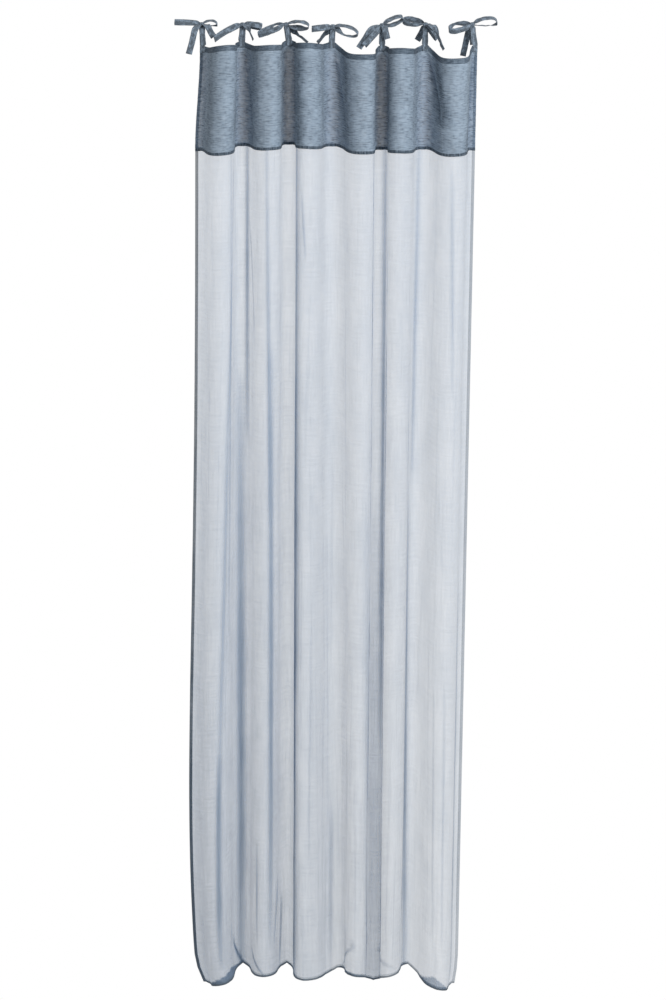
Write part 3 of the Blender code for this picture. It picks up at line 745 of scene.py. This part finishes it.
def voile_material(sizes, colours):
    """Crinkled cotton voile: an open weave of fine matt threads that shows white between them.

    The cloth's two faces share its cover, so each lets through the root of what both let
    through. Half the light that meets a thread goes on through it, which keeps the folds
    pale from either side. It is painted denser and greyer lower down, and low down denser on
    the left and less dense on the right, away from and towards the key lamp: painted shade.
    It is denser where it turns edge-on to the front. Its threads, about 0.2 mm thick, are too
    fine to show, so its weave is drawn as streaks 4 mm wide.
    """
    material, tree, shader, flat = cloth_material("crinkled_cotton_voile")
    parts = add_node(tree, "ShaderNodeSeparateXYZ", ((0, flat),)).outputs
    crease, turned = (kept(tree, name) for name in ("crease", "turned"))
    warp = streaks(tree, flat, 4.0, 70.0, 3.0)
    weft = streaks(tree, flat, 70.0, 4.0, 3.0)
    folds = streaks(tree, flat, 6.0, 140.0, 3.0)
    blotches = streaks(tree, flat, 60.0, 180.0)
    foot = sizes.body_drop
    edge = strip(tree, parts[1], foot - FOOT_EDGE, foot + 1.0)
    whole = strip(tree, parts[1], foot - sizes.foot_hem, foot + 1.0)
    ends = sums(tree, "MAXIMUM", edge, sums(tree, "MULTIPLY", whole, 0.3))
    hem = sums(tree, "MAXIMUM", side_hems(tree, sizes, parts[0], 0.6), ends)
    # Painted shade: lower down the voile is made denser and greyer, and low on the left denser still
    lower = ranged(tree, parts[1], 0.15, foot, 0.0, 1.0)
    left = ranged(tree, parts[0], 0.0, sizes.width, 1.0, -0.4)
    edge_on_and_lower_shade = sums(tree, "MULTIPLY", turned, ranged(tree, lower, 0.0, 1.0, 0.10, 0.13))
    uneven = [(ranged(tree, noise, 0.3, 0.7, -0.03, 0.03), 1.0) for noise in (warp, weft, blotches)]
    cover = weighted(
        tree, (ranged(tree, lower, 0.0, 1.0, 0.42, 0.47), 1.0), (sums(tree, "MULTIPLY", lower, left), 0.17),
        *uneven, (ranged(tree, folds, 0.52, 0.75, 0.0, 0.03), 1.0),
        (edge_on_and_lower_shade, 1.0), (crease, 0.36), (hem, 0.40))
    clear = add_node(tree, "ShaderNodeMath", ((0, 1.0), (1, cover)), operation="SUBTRACT", use_clamp=True)
    film = sums(tree, "SUBTRACT", 1.0, sums(tree, "POWER", clear.outputs[0], 0.5))
    shade = blended(tree, hem, colours.voile, colours.voile_hem)
    shade = blended(tree, sums(tree, "MULTIPLY", lower, 0.5), shade, linear(VOILE_FOOT_PAINTED_SHADE))
    matt_threads(tree, shader, shade, (folds, 0.4, 0.0010), 0.9)
    through = add_node(tree, "ShaderNodeBsdfTranslucent", (("Color", shade),))
    threads = add_node(tree, "ShaderNodeMixShader", (
        (0, 0.5), (1, shader.outputs[0]), (2, through.outputs[0])))
    gaps = add_node(tree, "ShaderNodeBsdfTransparent")
    cloth = add_node(tree, "ShaderNodeMixShader", (
        (0, film), (1, gaps.outputs[0]), (2, threads.outputs[0])))
    tree.links.new(cloth.outputs[0], tree.nodes["Material Output"].inputs["Surface"])
    return material


def ribbon_material(colours):
    """Woven linen ribbon, washed: matt and dark, with threads that run along it.

    The threads are too fine to show, so they are drawn as streaks 2.4 mm wide.
    """
    material, tree, shader, flat = cloth_material("washed_linen_ribbon")
    threads = streaks(tree, flat, 2.4, 22.0)
    slubs = streaks(tree, flat, 7.0, 2.4)
    blotches = streaks(tree, flat, 9.0, 15.0)
    weave = weighted(tree, (threads, 0.5), (slubs, 0.5))
    stained = ranged(tree, blotches, 0.36, 0.60, -0.2, 0.75)
    tone = sums(tree, "ADD", ranged(tree, weave, 0.38, 0.62, 0.0, 0.8), stained)
    shade = blended(tree, tone, colours.ribbon, [part * 0.34 for part in colours.ribbon])
    matt_threads(tree, shader, shade, (weave, 0.7, 0.0006), 0.85)
    shader.inputs["Sheen Weight"].default_value = 0.1
    return material


def thread_material(colours):
    """Spun polyester sewing thread: a little glossier than the cloth it sews."""
    material, tree, shader = new_material("spun_polyester_thread")
    place = add_node(tree, "ShaderNodeTexCoord").outputs["Object"]
    twist = add_node(tree, "ShaderNodeTexNoise", (("Vector", place), ("Scale", 900.0))).outputs["Fac"]
    shade = blended(tree, ranged(tree, twist, 0.3, 0.7, 0.0, 0.5), colours.thread, linear(THREAD_SHADE))
    tree.links.new(shade, shader.inputs["Base Color"])
    shader.inputs["Roughness"].default_value = 0.55
    return material


def near_ties(sizes, across, reach):
    """1 at each tie's place across the cloth, and 0 further off than the reach."""
    return np.max([ease(1.0 - np.abs(across - place) / reach) for place in tie_places(sizes)], axis=0)


def cloth_piece(name, points, across, downs, **fields):
    """Sheet through the points, with its flat places and the fields that its material reads."""
    mesh = grid_mesh(name, points, np.stack(np.meshgrid(across, downs), axis=-1))
    for field, values in fields.items():
        layer = mesh.attributes.new(field, "FLOAT", "POINT")
        layer.data.foreach_set("value", np.clip(values, 0.0, 1.0).astype(np.float32).ravel())
    return new_piece(name, mesh)


class CURTAIN_OT_header(bpy.types.Operator):
    """Make the linen header, with its hems, puckers and drag lines"""

    bl_idname = "curtain.header"
    bl_label = "Linen header"

    def execute(self, context):
        sizes, creases, colours = (getattr(context.scene, name) for name in GROUPS)
        rng = np.random.default_rng(creases.seed)
        across = np.linspace(0.0, sizes.width, creases.header_columns)
        downs = np.linspace(0.0, sizes.header_drop, creases.header_rows)
        points, normals = drape(sizes, across, downs, 0.0)
        # Here the valley mask raises the puckers; in the linen it is painted light, bluer, lighter and more
        # see-through
        valley = near_ties(sizes, across, VALLEY_REACH)[None, :]
        below_hem = ease((downs - sizes.top_hem) / HEADER_FREE)[:, None]
        above_seam = ease((sizes.header_drop - downs) / HEADER_FREE)[:, None]
        free = below_hem * (0.35 + 0.65 * above_seam)
        height = creases.pucker_height * (0.25 + 1.4 * valley) * lumps(rng, across, downs, *PUCKERS)
        height += creases.crinkle_height * lumps(rng, across, downs, *HEADER_CRINKLES)
        height += 2 * creases.crinkle_height * lumps(rng, across, downs, *HEADER_BULGES)
        drag = drag_lines(sizes, across, downs)
        points = points + normals * (height * free + drag)[..., None]
        deepest = -min(groove[-1] for groove in DRAG_LINES)
        # Painted shade: the drag field darkens the linen along the drag grooves and the shade bands, and
        # lightens it on the ridges
        piece = cloth_piece(
            "header_cloth", points, across, downs, valley=valley * below_hem, turned=turned_away(normals),
            drag=drawn_lines(across, downs, HEADER_SHADE_BANDS) - drag / deepest)
        ends = (downs <= sizes.top_hem) | (downs >= sizes.header_drop - SEAM_EDGE)
        thicken(piece, sizes, sizes.header_cloth, across, ends)
        finish_sheet(
            piece, linen_material(sizes, colours), ["header_panel"])
        return {"FINISHED"}


class CURTAIN_OT_body(bpy.types.Operator):
    """Make the sheer body, with its crinkles and long creases"""

    bl_idname = "curtain.body"
    bl_label = "Voile body"

    def execute(self, context):
        sizes, creases, colours = (getattr(context.scene, name) for name in GROUPS)
        rng = np.random.default_rng(creases.seed + 1)
        across = np.linspace(0.0, sizes.width, creases.body_columns)
        foot = np.linspace(sizes.body_drop - FOOT_DETAIL, sizes.body_drop, creases.foot_rows)
        downs = np.concatenate((np.linspace(-sizes.seam_lap, foot[0], creases.body_rows)[:-1], foot))
        points, normals = drape(sizes, across, downs + sizes.header_drop, -sizes.body_setback)
        free = ease((downs + sizes.seam_lap / 2) / VOILE_FREE)[:, None]
        ridges = long_creases(rng, across, downs, creases.long_creases)
        folds = lumps(rng, across, downs, *VOILE_FOLDS)
        crinkle = lumps(rng, across, downs, *VOILE_CRINKLES)
        drawn = drawn_lines(across, downs, VOILE_CREASES)
        tight = (0.5 + 0.8 * (downs / sizes.body_drop))[:, None]
        height = creases.crease_height * (ridges + 0.5 * folds + drawn) + creases.crinkle_height * crinkle
        points = points + normals * (height * free * tight)[..., None]
        piece = cloth_piece(
            "body_cloth", points, across, downs, turned=turned_away(normals),
            crease=0.2 * np.abs(ridges) + drawn + turned_up(sizes, across, downs))
        thicken(piece, sizes, sizes.body_cloth, across, downs >= sizes.body_drop - sizes.foot_hem)
        finish_sheet(
            piece, voile_material(sizes, colours), ["body_panel"])
        return {"FINISHED"}


def smooth_rows(rows, count):
    """Evenly spaced rows on smooth curves through the given rows of points."""
    rows = np.array(rows, float)
    before = np.concatenate((rows[:1], rows[:-1]))
    after = np.concatenate((rows[1:], rows[-1:]))
    fine = []
    for index in range(len(rows) - 1):
        p0, p1, p2, p3 = before[index], rows[index], rows[index + 1], after[index + 1]
        for step in np.linspace(0.0, 1.0, 10, endpoint=False):
            gap = np.linalg.norm(p2 - p1, axis=-1, keepdims=True)
            back = np.linalg.norm(p1 - p0, axis=-1, keepdims=True)
            ahead = np.linalg.norm(p3 - p2, axis=-1, keepdims=True)
            leave = (p2 - p0) * gap / np.maximum(gap + back, 1e-9)
            reach = (p3 - p1) * gap / np.maximum(gap + ahead, 1e-9)
            fine.append(
                (2 * step ** 3 - 3 * step ** 2 + 1) * p1 + (step ** 3 - 2 * step ** 2 + step) * leave
                + (3 * step ** 2 - 2 * step ** 3) * p2 + (step ** 3 - step ** 2) * reach)
    fine.append(rows[-1])
    fine = np.array(fine)
    middle = fine.mean(axis=1)
    along = np.concatenate(([0.0], np.cumsum(np.linalg.norm(np.diff(middle, axis=0), axis=-1))))
    wanted = np.linspace(0.0, along[-1], count)
    flat = fine.reshape(len(fine), -1)
    spread = np.array([np.interp(wanted, along, flat[:, axis]) for axis in range(flat.shape[1])])
    return spread.T.reshape(count, *fine.shape[1:])


def widen(rows, columns):
    """Fill in the columns between a ribbon's given edges and middle."""
    rows = np.array(rows, float)
    share = np.linspace(0.0, 1.0, columns)[None, :, None]
    if rows.shape[1] == 2:
        return rows[:, :1] * (1 - share) + rows[:, 1:] * share
    low, mid, high = rows[:, 0:1], rows[:, 1:2], rows[:, 2:3]
    return (low * (2 * share - 1) * (share - 1) + mid * 4 * share * (1 - share)
            + high * share * (2 * share - 1))


def ribbon_half(sizes, distance):
    """Half the ribbon's width, gathered narrow where it comes out of its knot."""
    wide = sizes.ribbon_width - KNOT_PINCH
    return (KNOT_PINCH + wide * float(ease(distance / PINCH_LENGTH))) / 2


def round_pole(radius, angle):
    """Point on the ribbon's way round the pole; 0 is the pole's front and 90 its top."""
    turn = math.radians(angle)
    return Vector((0.0, -radius * math.cos(turn), radius * math.sin(turn)))


def off_pole(point, radius):
    """Point of loose ribbon, moved out to where it rests on the pole if it lies nearer the axis."""
    near = math.hypot(point.y, point.z)
    if near >= radius:
        return point
    return Vector((point.x, point.y * radius / near, point.z * radius / near))


def strap_rows(sizes, radius, place, knot, angle):
    """Ribbon from the knot down the pole's front, sewn by its fold to the hem, and up behind."""
    half_width = sizes.ribbon_width / 2
    cloth = sizes.ribbon_cloth
    inner = sizes.hem_cloth / 2 + TOUCH_GAP + cloth / 2 + THREAD_ROOM
    outer = inner + cloth + TOUCH_GAP
    columns = [place + step for step in (-half_width, 0.0, half_width)]

    def sewn_row(down, front):
        height = heights(sizes, np.array(columns), down)
        points, _ = drape(sizes, columns, [max(down, 0.0)], front)
        return [Vector((x, y, z)) for (x, y, _), z in zip(points[0], height)]

    edge, sewn, other_edge = sewn_row(0.0, 0.0)
    bends = (edge.y - sewn.y, 0.0, other_edge.y - sewn.y)

    def free_row(point):
        climb = float(ease((point.z - sewn.z) / (knot.z - sewn.z)))
        middle = sewn.x + (knot.x - sewn.x) * climb
        half = ribbon_half(sizes, (Vector((knot.x, point.y, point.z)) - knot).length)
        half *= 1.0 - STRAP_GATHER * math.sin(math.pi * climb)
        hug = 1.0 - float(ease((point.z - sewn.z) / (-radius - sewn.z)))
        return [Vector((middle + half * side, point.y + hug * bend, point.z))
                for side, bend in zip((-1, 0, 1), bends)]

    apart = Vector((0.0, math.sin(math.radians(angle)), math.cos(math.radians(angle)))) * cloth
    front_way = [knot - apart]
    front_way += [round_pole(radius, a) for a in np.linspace(angle - KNOT_CLEAR_ANGLE, FRONT_LEAVE_ANGLE, 4)]
    swing = Vector((0.0, -HEM_SWING[0], HEM_SWING[1])) * POLE_RADIUS
    front_way.append(Vector((0.0, sewn.y - inner, sewn.z)) + swing)
    back_way = [Vector((0.0, sewn.y + cloth, sewn.z + TIE_LAP / 4))]
    back_way += [round_pole(radius, a) for a in np.linspace(BACK_MEET_ANGLE, angle + KNOT_CLEAR_ANGLE, 5)]
    back_way.append(knot + apart)
    rows = [free_row(point) for point in front_way]
    rows += [sewn_row(0.0, outer), sewn_row(TIE_LAP / 2, outer), sewn_row(TIE_LAP, outer)]
    rows.append(sewn_row(TIE_LAP + cloth, (outer + inner) / 2))
    rows += [sewn_row(TIE_LAP, inner), sewn_row(TIE_LAP / 2, inner), sewn_row(-cloth, inner)]
    rows += [free_row(point) for point in back_way]
    return rows


def loop_rows(sizes, over, knot, aim, reach, opening, roll, droop, forward):
    """Ribbon out to a bow loop's tip and back, as a teardrop that leans out and droops."""
    aim, roll = math.radians(aim), math.radians(roll)
    out = Vector((math.cos(aim), 0.0, math.sin(aim)))
    lift = Vector((-math.sin(aim), 0.0, math.cos(aim)))
    apart = lift * math.cos(roll) + Vector((0.0, -math.sin(roll), 0.0))
    side = out.cross(apart)
    cloth = sizes.ribbon_cloth
    rows = []
    for turn in np.linspace(0.0, 2 * math.pi, LOOP_ROWS + 1):
        gone = (1 - math.cos(turn)) / 2
        spread = opening * LOOP_FULLNESS * math.sin(turn) * math.sqrt(max(math.sin(turn / 2), 0.0))
        spread += cloth * math.cos(turn / 2)
        middle = knot + out * (reach * gone) + apart * spread
        middle += Vector((0.0, -forward * gone, -droop * gone * gone))
        half = ribbon_half(sizes, (middle - knot).length)
        strand = min(max(STRANDS_APART * math.cos(turn / 2), -1.0), 1.0)
        radius = over + cloth * (1 + strand)
        rows.append([off_pole(middle - side * half, radius), off_pole(middle + side * half, radius)])
    return rows


def tail_rows(sizes, over, knot, end, depth, turn):
    """Loose end of the ribbon, which comes out of the knot and hangs to where it was cut."""
    tip = Vector((knot.x + end[0], depth, knot.z + end[1]))
    if depth > 0:
        way = [round_pole(over, angle) for angle in TAIL_OVER_ANGLES]
        for point, gone in zip(way, TAIL_OVER_SHARES):
            point.x = knot.x + gone * end[0]
    else:
        bulge = Vector((knot.x + TAIL_BULGE[0] * end[0], depth, knot.z + TAIL_BULGE[1] * end[1]))
        way = [bulge, (bulge + tip) / 2]
    marks = [[point] for point in (knot, *way, tip)]
    path = [Vector(point[0]) for point in smooth_rows(marks, TAIL_ROWS + 1)]
    rows = []
    for index, point in enumerate(path):
        ahead = (path[min(index + 1, TAIL_ROWS)] - path[max(index - 1, 0)]).normalized()
        level = Vector((1.0, 0.0, 0.0)) - ahead * ahead.x
        level.normalize()
        twist = math.radians(turn) * float(ease(2 * index / TAIL_ROWS - 0.4))
        side = level * math.cos(twist) + ahead.cross(level) * math.sin(twist)
        half = ribbon_half(sizes, (point - knot).length)
        rows.append([off_pole(point - side * half, over), off_pole(point + side * half, over)])
    return rows


def ribbon_sheet(sizes, rng, rows, knot, start):
    """Finished grid of one stretch of ribbon: pleated at the knot, cupped and a little wavy."""
    points = widen(rows, RIBBON_COLUMNS)
    along = np.gradient(points, axis=0)
    side = np.gradient(points, axis=1)
    normal = np.cross(along, side)
    normal /= np.maximum(np.linalg.norm(normal, axis=-1, keepdims=True), 1e-12)
    middle = points[:, RIBBON_COLUMNS // 2]
    away = np.linalg.norm(middle - np.array(knot), axis=-1)
    share = np.linspace(-1.0, 1.0, RIBBON_COLUMNS)[None, :]
    pleat = PLEAT_HEIGHT * ridge(away, 0.0, PLEAT_REACH)[:, None] * np.cos(share * math.pi * 2.0)
    clear = ease((away - WAVE_START) / WAVE_GROWTH)[:, None]
    steps = np.linalg.norm(np.diff(middle, axis=0), axis=-1)
    length = np.concatenate(([0.0], np.cumsum(steps)))
    wave = WAVE_HEIGHT * clear * lumps(rng, np.linspace(0.0, 1.0, RIBBON_COLUMNS), length + 1.0, *WAVES)
    points = points + normal * (pleat + wave)[..., None]
    flat = np.stack(np.broadcast_arrays(
        (share + 1) * sizes.ribbon_width / 2, (start + length)[:, None]), axis=-1)
    return points, flat, length[-1]


def knot_wrap(sizes, centre, angle, tilt):
    """Turn of ribbon wrapped round the middle of the bow, gathered narrow and rounded."""
    rows = []
    radius = KNOT_SIZE / 2 * KNOT_FULLNESS
    outward = Vector((0.0, -math.cos(math.radians(angle)), math.sin(math.radians(angle))))
    level = Vector((math.cos(tilt), 0.0, math.sin(tilt)))
    level = (level - outward * level.dot(outward)).normalized()
    upright = outward.cross(level)
    share = np.linspace(-1.0, 1.0, RIBBON_COLUMNS)
    for turn in np.linspace(0.0, 2 * math.pi, KNOT_ROWS):
        way = outward * math.cos(turn) * KNOT_FLATTEN + upright * math.sin(turn)
        row = []
        for place in share:
            swell = 1.0 - KNOT_ROUND * place * place + KNOT_RIPPLE * math.cos(place * 3 * math.pi)
            row.append(centre + way * (radius * swell) + level * (place * radius * KNOT_WIDTH))
        rows.append(row)
    points = np.array(rows, float)
    lengths = np.linspace(0.0, 2 * math.pi * radius, len(rows))[:, None]
    flat = np.stack(np.broadcast_arrays((share[None, :] + 1) * sizes.ribbon_width / 4, lengths), axis=-1)
    return points, flat, lengths[-1, 0]


def join_sheets(name, sheets):
    """One mesh of several open grids, each with its flat UV."""
    meshes = [grid_mesh(name, points, flat) for points, flat, _ in sheets]
    pieces = [new_piece(name, mesh) for mesh in meshes]
    with bpy.context.temp_override(active_object=pieces[0], selected_editable_objects=pieces):
        bpy.ops.object.join()
    return pieces[0]


class CURTAIN_OT_ties(bpy.types.Operator):
    """Make the ribbons that hold the curtain, each tied in its own bow"""

    bl_idname = "curtain.ties"
    bl_label = "Ribbon bows"

    def execute(self, context):
        sizes, creases, colours = (getattr(context.scene, name) for name in GROUPS)
        material = ribbon_material(colours)
        rng = np.random.default_rng(creases.seed + 2)
        radius = POLE_RADIUS + POLE_CLEARANCE + sizes.ribbon_cloth / 2
        over = radius + 3 * sizes.ribbon_cloth
        for number, (place, bow) in enumerate(zip(tie_places(sizes), BOWS), start=1):
            (angle, shift), loops, tails = bow
            top = drape(sizes, [place], [0.0], 0.0)[0][0, 0]
            knot = round_pole(radius + KNOT_SIZE * KNOT_SEAT, angle) + Vector((top[0] + shift, 0.0, 0.0))
            ways = [smooth_rows(strap_rows(sizes, radius, place, knot, angle), STRAP_ROWS)]
            ways += [loop_rows(sizes, over, knot, *loop) for loop in loops]
            ways += [tail_rows(sizes, over, knot, *tail) for tail in tails]
            sheets, length = [], 0.0
            for rows in ways:
                sheet = ribbon_sheet(sizes, rng, rows, knot, length)
                sheets.append(sheet)
                length += sheet[2]
            wrap = knot_wrap(sizes, knot, angle, rng.uniform(-KNOT_TILT, KNOT_TILT))
            sheets.append(wrap)
            piece = join_sheets(f"tie_{number}_ribbon", sheets)
            wall = piece.modifiers.new("cloth", "SOLIDIFY")
            wall.thickness = sizes.ribbon_cloth
            wall.offset = 0.0
            plain_mesh(piece)
            finish_sheet(
                piece, material, [f"tie_{number}"])
        return {"FINISHED"}


def stitch_tree(material):
    """Node tree that lays stitches of thread along the edges of a path mesh."""
    tree = bpy.data.node_groups.new("stitches", "GeometryNodeTree")
    face = tree.interface
    face.new_socket("Geometry", in_out="INPUT", socket_type="NodeSocketGeometry")
    for name in ("Pitch", "Length", "Thread"):
        face.new_socket(name, in_out="INPUT", socket_type="NodeSocketFloat")
    face.new_socket("Geometry", in_out="OUTPUT", socket_type="NodeSocketGeometry")
    given = add_node(tree, "NodeGroupInput").outputs
    path = add_node(tree, "GeometryNodeMeshToCurve", ((0, given["Geometry"]),))
    spaced = add_node(tree, "GeometryNodeResampleCurve", (
        ("Curve", path.outputs[0]), ("Length", given["Pitch"])), mode="LENGTH")
    tangent = add_node(tree, "GeometryNodeInputTangent").outputs[0]
    turn = add_node(tree, "FunctionNodeAlignRotationToVector", (("Vector", tangent),), axis="X")
    jitter = add_node(tree, "FunctionNodeRandomValue", (
        (2, 0.85), (3, 1.1), ("Seed", 3)), data_type="FLOAT").outputs[1]
    bead = add_node(tree, "GeometryNodeMeshUVSphere", (("Segments", 6), ("Rings", 4), ("Radius", 0.5)))
    long = sums(tree, "MULTIPLY", given["Length"], jitter)
    scale = add_node(tree, "ShaderNodeCombineXYZ", ((0, long), (1, given["Thread"]), (2, given["Thread"])))
    laid = add_node(tree, "GeometryNodeInstanceOnPoints", (
        ("Points", spaced.outputs[0]), ("Instance", bead.outputs[0]),
        ("Rotation", turn.outputs[0]), ("Scale", scale.outputs[0])))
    real = add_node(tree, "GeometryNodeRealizeInstances", ((0, laid.outputs[0]),))
    dressed = add_node(tree, "GeometryNodeSetMaterial", (
        ("Geometry", real.outputs[0]), ("Material", material)))
    add_node(tree, "NodeGroupOutput", ((0, dressed.outputs[0]),))
    return tree


def seam_paths(sizes):
    """Lines of stitching over the cloths: (across, down) in metres and how far off the cloth."""
    across = np.linspace(0.0, sizes.width, 500)
    foot = sizes.header_drop + sizes.body_drop
    lift = sizes.hem_cloth / 2
    paths = [
        (across, np.full_like(across, sizes.top_hem - TOP_STITCH), lift),
        (across, np.full_like(across, sizes.header_drop - SEAM_STITCH), lift),
        (across, np.full_like(across, foot - sizes.foot_hem + HEM_STITCH), lift - sizes.body_setback),
    ]
    for edge in (sizes.side_hem - HEM_STITCH, sizes.width - sizes.side_hem + HEM_STITCH):
        for top, low, off in (
            (0.0, sizes.header_drop, lift), (sizes.header_drop, foot, lift - sizes.body_setback)):
            downs = np.linspace(top + 0.002, low - 0.002, 240)
            paths.append((np.full_like(downs, edge), downs, off))
    return paths


class CURTAIN_OT_stitches(bpy.types.Operator):
    """Sew the seam and the hems"""

    bl_idname = "curtain.stitches"
    bl_label = "Stitches"

    def execute(self, context):
        sizes, _, colours = (getattr(context.scene, name) for name in GROUPS)
        verts, edges = [], []
        for across, downs, front in seam_paths(sizes):
            if np.ptp(downs) == 0.0:
                line = drape(sizes, across, downs[:1], front)[0][0]
            else:
                line = drape(sizes, across[:1], downs, front)[0][:, 0]
            edges += [(len(verts) + step, len(verts) + step + 1) for step in range(len(line) - 1)]
            verts += [tuple(point) for point in line]
        mesh = bpy.data.meshes.new("stitching")
        mesh.from_pydata(verts, edges, [])
        piece = new_piece("stitching", mesh)
        tree = stitch_tree(thread_material(colours))
        laid = piece.modifiers.new("stitches", "NODES")
        laid.node_group = tree
        wanted = {"Pitch": sizes.stitch_pitch, "Length": sizes.stitch_length, "Thread": sizes.thread}
        for item in tree.interface.items_tree:
            if item.in_out == "INPUT" and item.name in wanted:
                laid[item.identifier] = wanted[item.name]
        plain_mesh(piece)
        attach(piece, "root")
        return {"FINISHED"}


def area_light(name, place, aim, size, power):
    """Soft square lamp turned to a point."""
    lamp = bpy.data.lights.new(name, "AREA")
    lamp.size = size
    lamp.energy = power
    piece = new_piece(name, lamp)
    piece.location = place
    piece.rotation_euler = (Vector(aim) - Vector(place)).to_track_quat("-Z", "Y").to_euler()


def white_world(strength):
    """World that lights evenly and looks white to the camera."""
    world = bpy.data.worlds.new("studio")
    bpy.context.scene.world = world
    world.use_nodes = True
    tree, background = world.node_tree, world.node_tree.nodes["Background"]
    ray = add_node(tree, "ShaderNodeLightPath").outputs
    mirrored = sums(tree, "MAXIMUM", ray["Is Glossy Ray"], ray["Is Transmission Ray"])
    level = ranged(tree, sums(tree, "MAXIMUM", ray["Is Camera Ray"], mirrored), 0.0, 1.0, strength, 1.0)
    background.inputs[0].default_value = (1.0, 1.0, 1.0, 1.0)
    tree.links.new(level, background.inputs[1])


def floor_material():
    """Matt white studio floor, lifted to white for the eye but still holding the shadow."""
    material, tree, shader = new_material("matt_white_floor")
    ray = add_node(tree, "ShaderNodeLightPath").outputs
    shader.inputs["Base Color"].default_value = (0.85, 0.85, 0.85, 1.0)
    shader.inputs["Roughness"].default_value = 0.9
    shader.inputs["Emission Color"].default_value = (1.0, 1.0, 1.0, 1.0)
    tree.links.new(sums(tree, "MULTIPLY", ray["Is Camera Ray"], 0.5), shader.inputs["Emission Strength"])
    return material


class CURTAIN_OT_stage(bpy.types.Operator):
    """Set up the floor, the soft lamps and the camera"""

    bl_idname = "curtain.stage"
    bl_label = "Stage"

    def execute(self, context):
        floor_mesh = bpy.data.meshes.new("floor")
        corners = [
            (side * FLOOR_REACH, end, FLOOR_LEVEL)
            for side, end in ((-1, -FLOOR_REACH), (1, -FLOOR_REACH), (1, FLOOR_BACK), (-1, FLOOR_BACK))]
        floor_mesh.from_pydata(corners, [], [(0, 1, 2, 3)])
        floor = new_piece("floor", floor_mesh)
        floor_mesh.materials.append(floor_material())
        white_world(WORLD_STRENGTH)
        for name, (place, size, power) in LAMPS.items():
            area_light(name, place, LAMP_AIM, size, power)
        camera = bpy.data.cameras.new("camera")
        camera.lens = camera.sensor_width / 2 / (VIEW_HEIGHT / 2 / -CAMERA_PLACE[1])
        piece = new_piece("camera", camera)
        piece.location = CAMERA_PLACE
        piece.rotation_euler = (math.pi / 2, 0.0, 0.0)
        context.scene.camera = piece
        context.scene.view_settings.view_transform = "Standard"
        context.scene.cycles.transparent_max_bounces = 24
        return {"FINISHED"}


OPERATORS = (CURTAIN_OT_header, CURTAIN_OT_body, CURTAIN_OT_ties, CURTAIN_OT_stitches, CURTAIN_OT_stage)


class CURTAIN_PT_panel(bpy.types.Panel):
    """Sidebar panel with the curtain's sizes and makers"""

    bl_idname = "CURTAIN_PT_panel"
    bl_label = "Tie-top curtain"
    bl_space_type = "VIEW_3D"
    bl_region_type = "UI"
    bl_category = "Curtain"

    def draw(self, context):
        for name in GROUPS:
            group = getattr(context.scene, name)
            for prop in group.bl_rna.properties:
                if prop.identifier not in ("rna_type", "name"):
                    self.layout.prop(group, prop.identifier)
        for operator in OPERATORS:
            self.layout.operator(operator.bl_idname)


GROUPS = {
    "curtain_sizes": CurtainSizes, "curtain_creases": CurtainCreases, "curtain_colours": CurtainColours}


def register():
    """Register the properties, the operators and the panel."""
    for kind in (*GROUPS.values(), *OPERATORS, CURTAIN_PT_panel):
        bpy.utils.register_class(kind)
    for name, kind in GROUPS.items():
        setattr(bpy.types.Scene, name, PointerProperty(type=kind))


def unregister():
    """Take them out again."""
    for name in GROUPS:
        delattr(bpy.types.Scene, name)
    for kind in reversed((*GROUPS.values(), *OPERATORS, CURTAIN_PT_panel)):
        bpy.utils.unregister_class(kind)


def main():
    """Make the curtain and its stage."""
    register()
    bpy.ops.curtain.header()
    bpy.ops.curtain.body()
    bpy.ops.curtain.ties()
    bpy.ops.curtain.stitches()
    bpy.ops.curtain.stage()


if __name__ == "__main__":
    main()
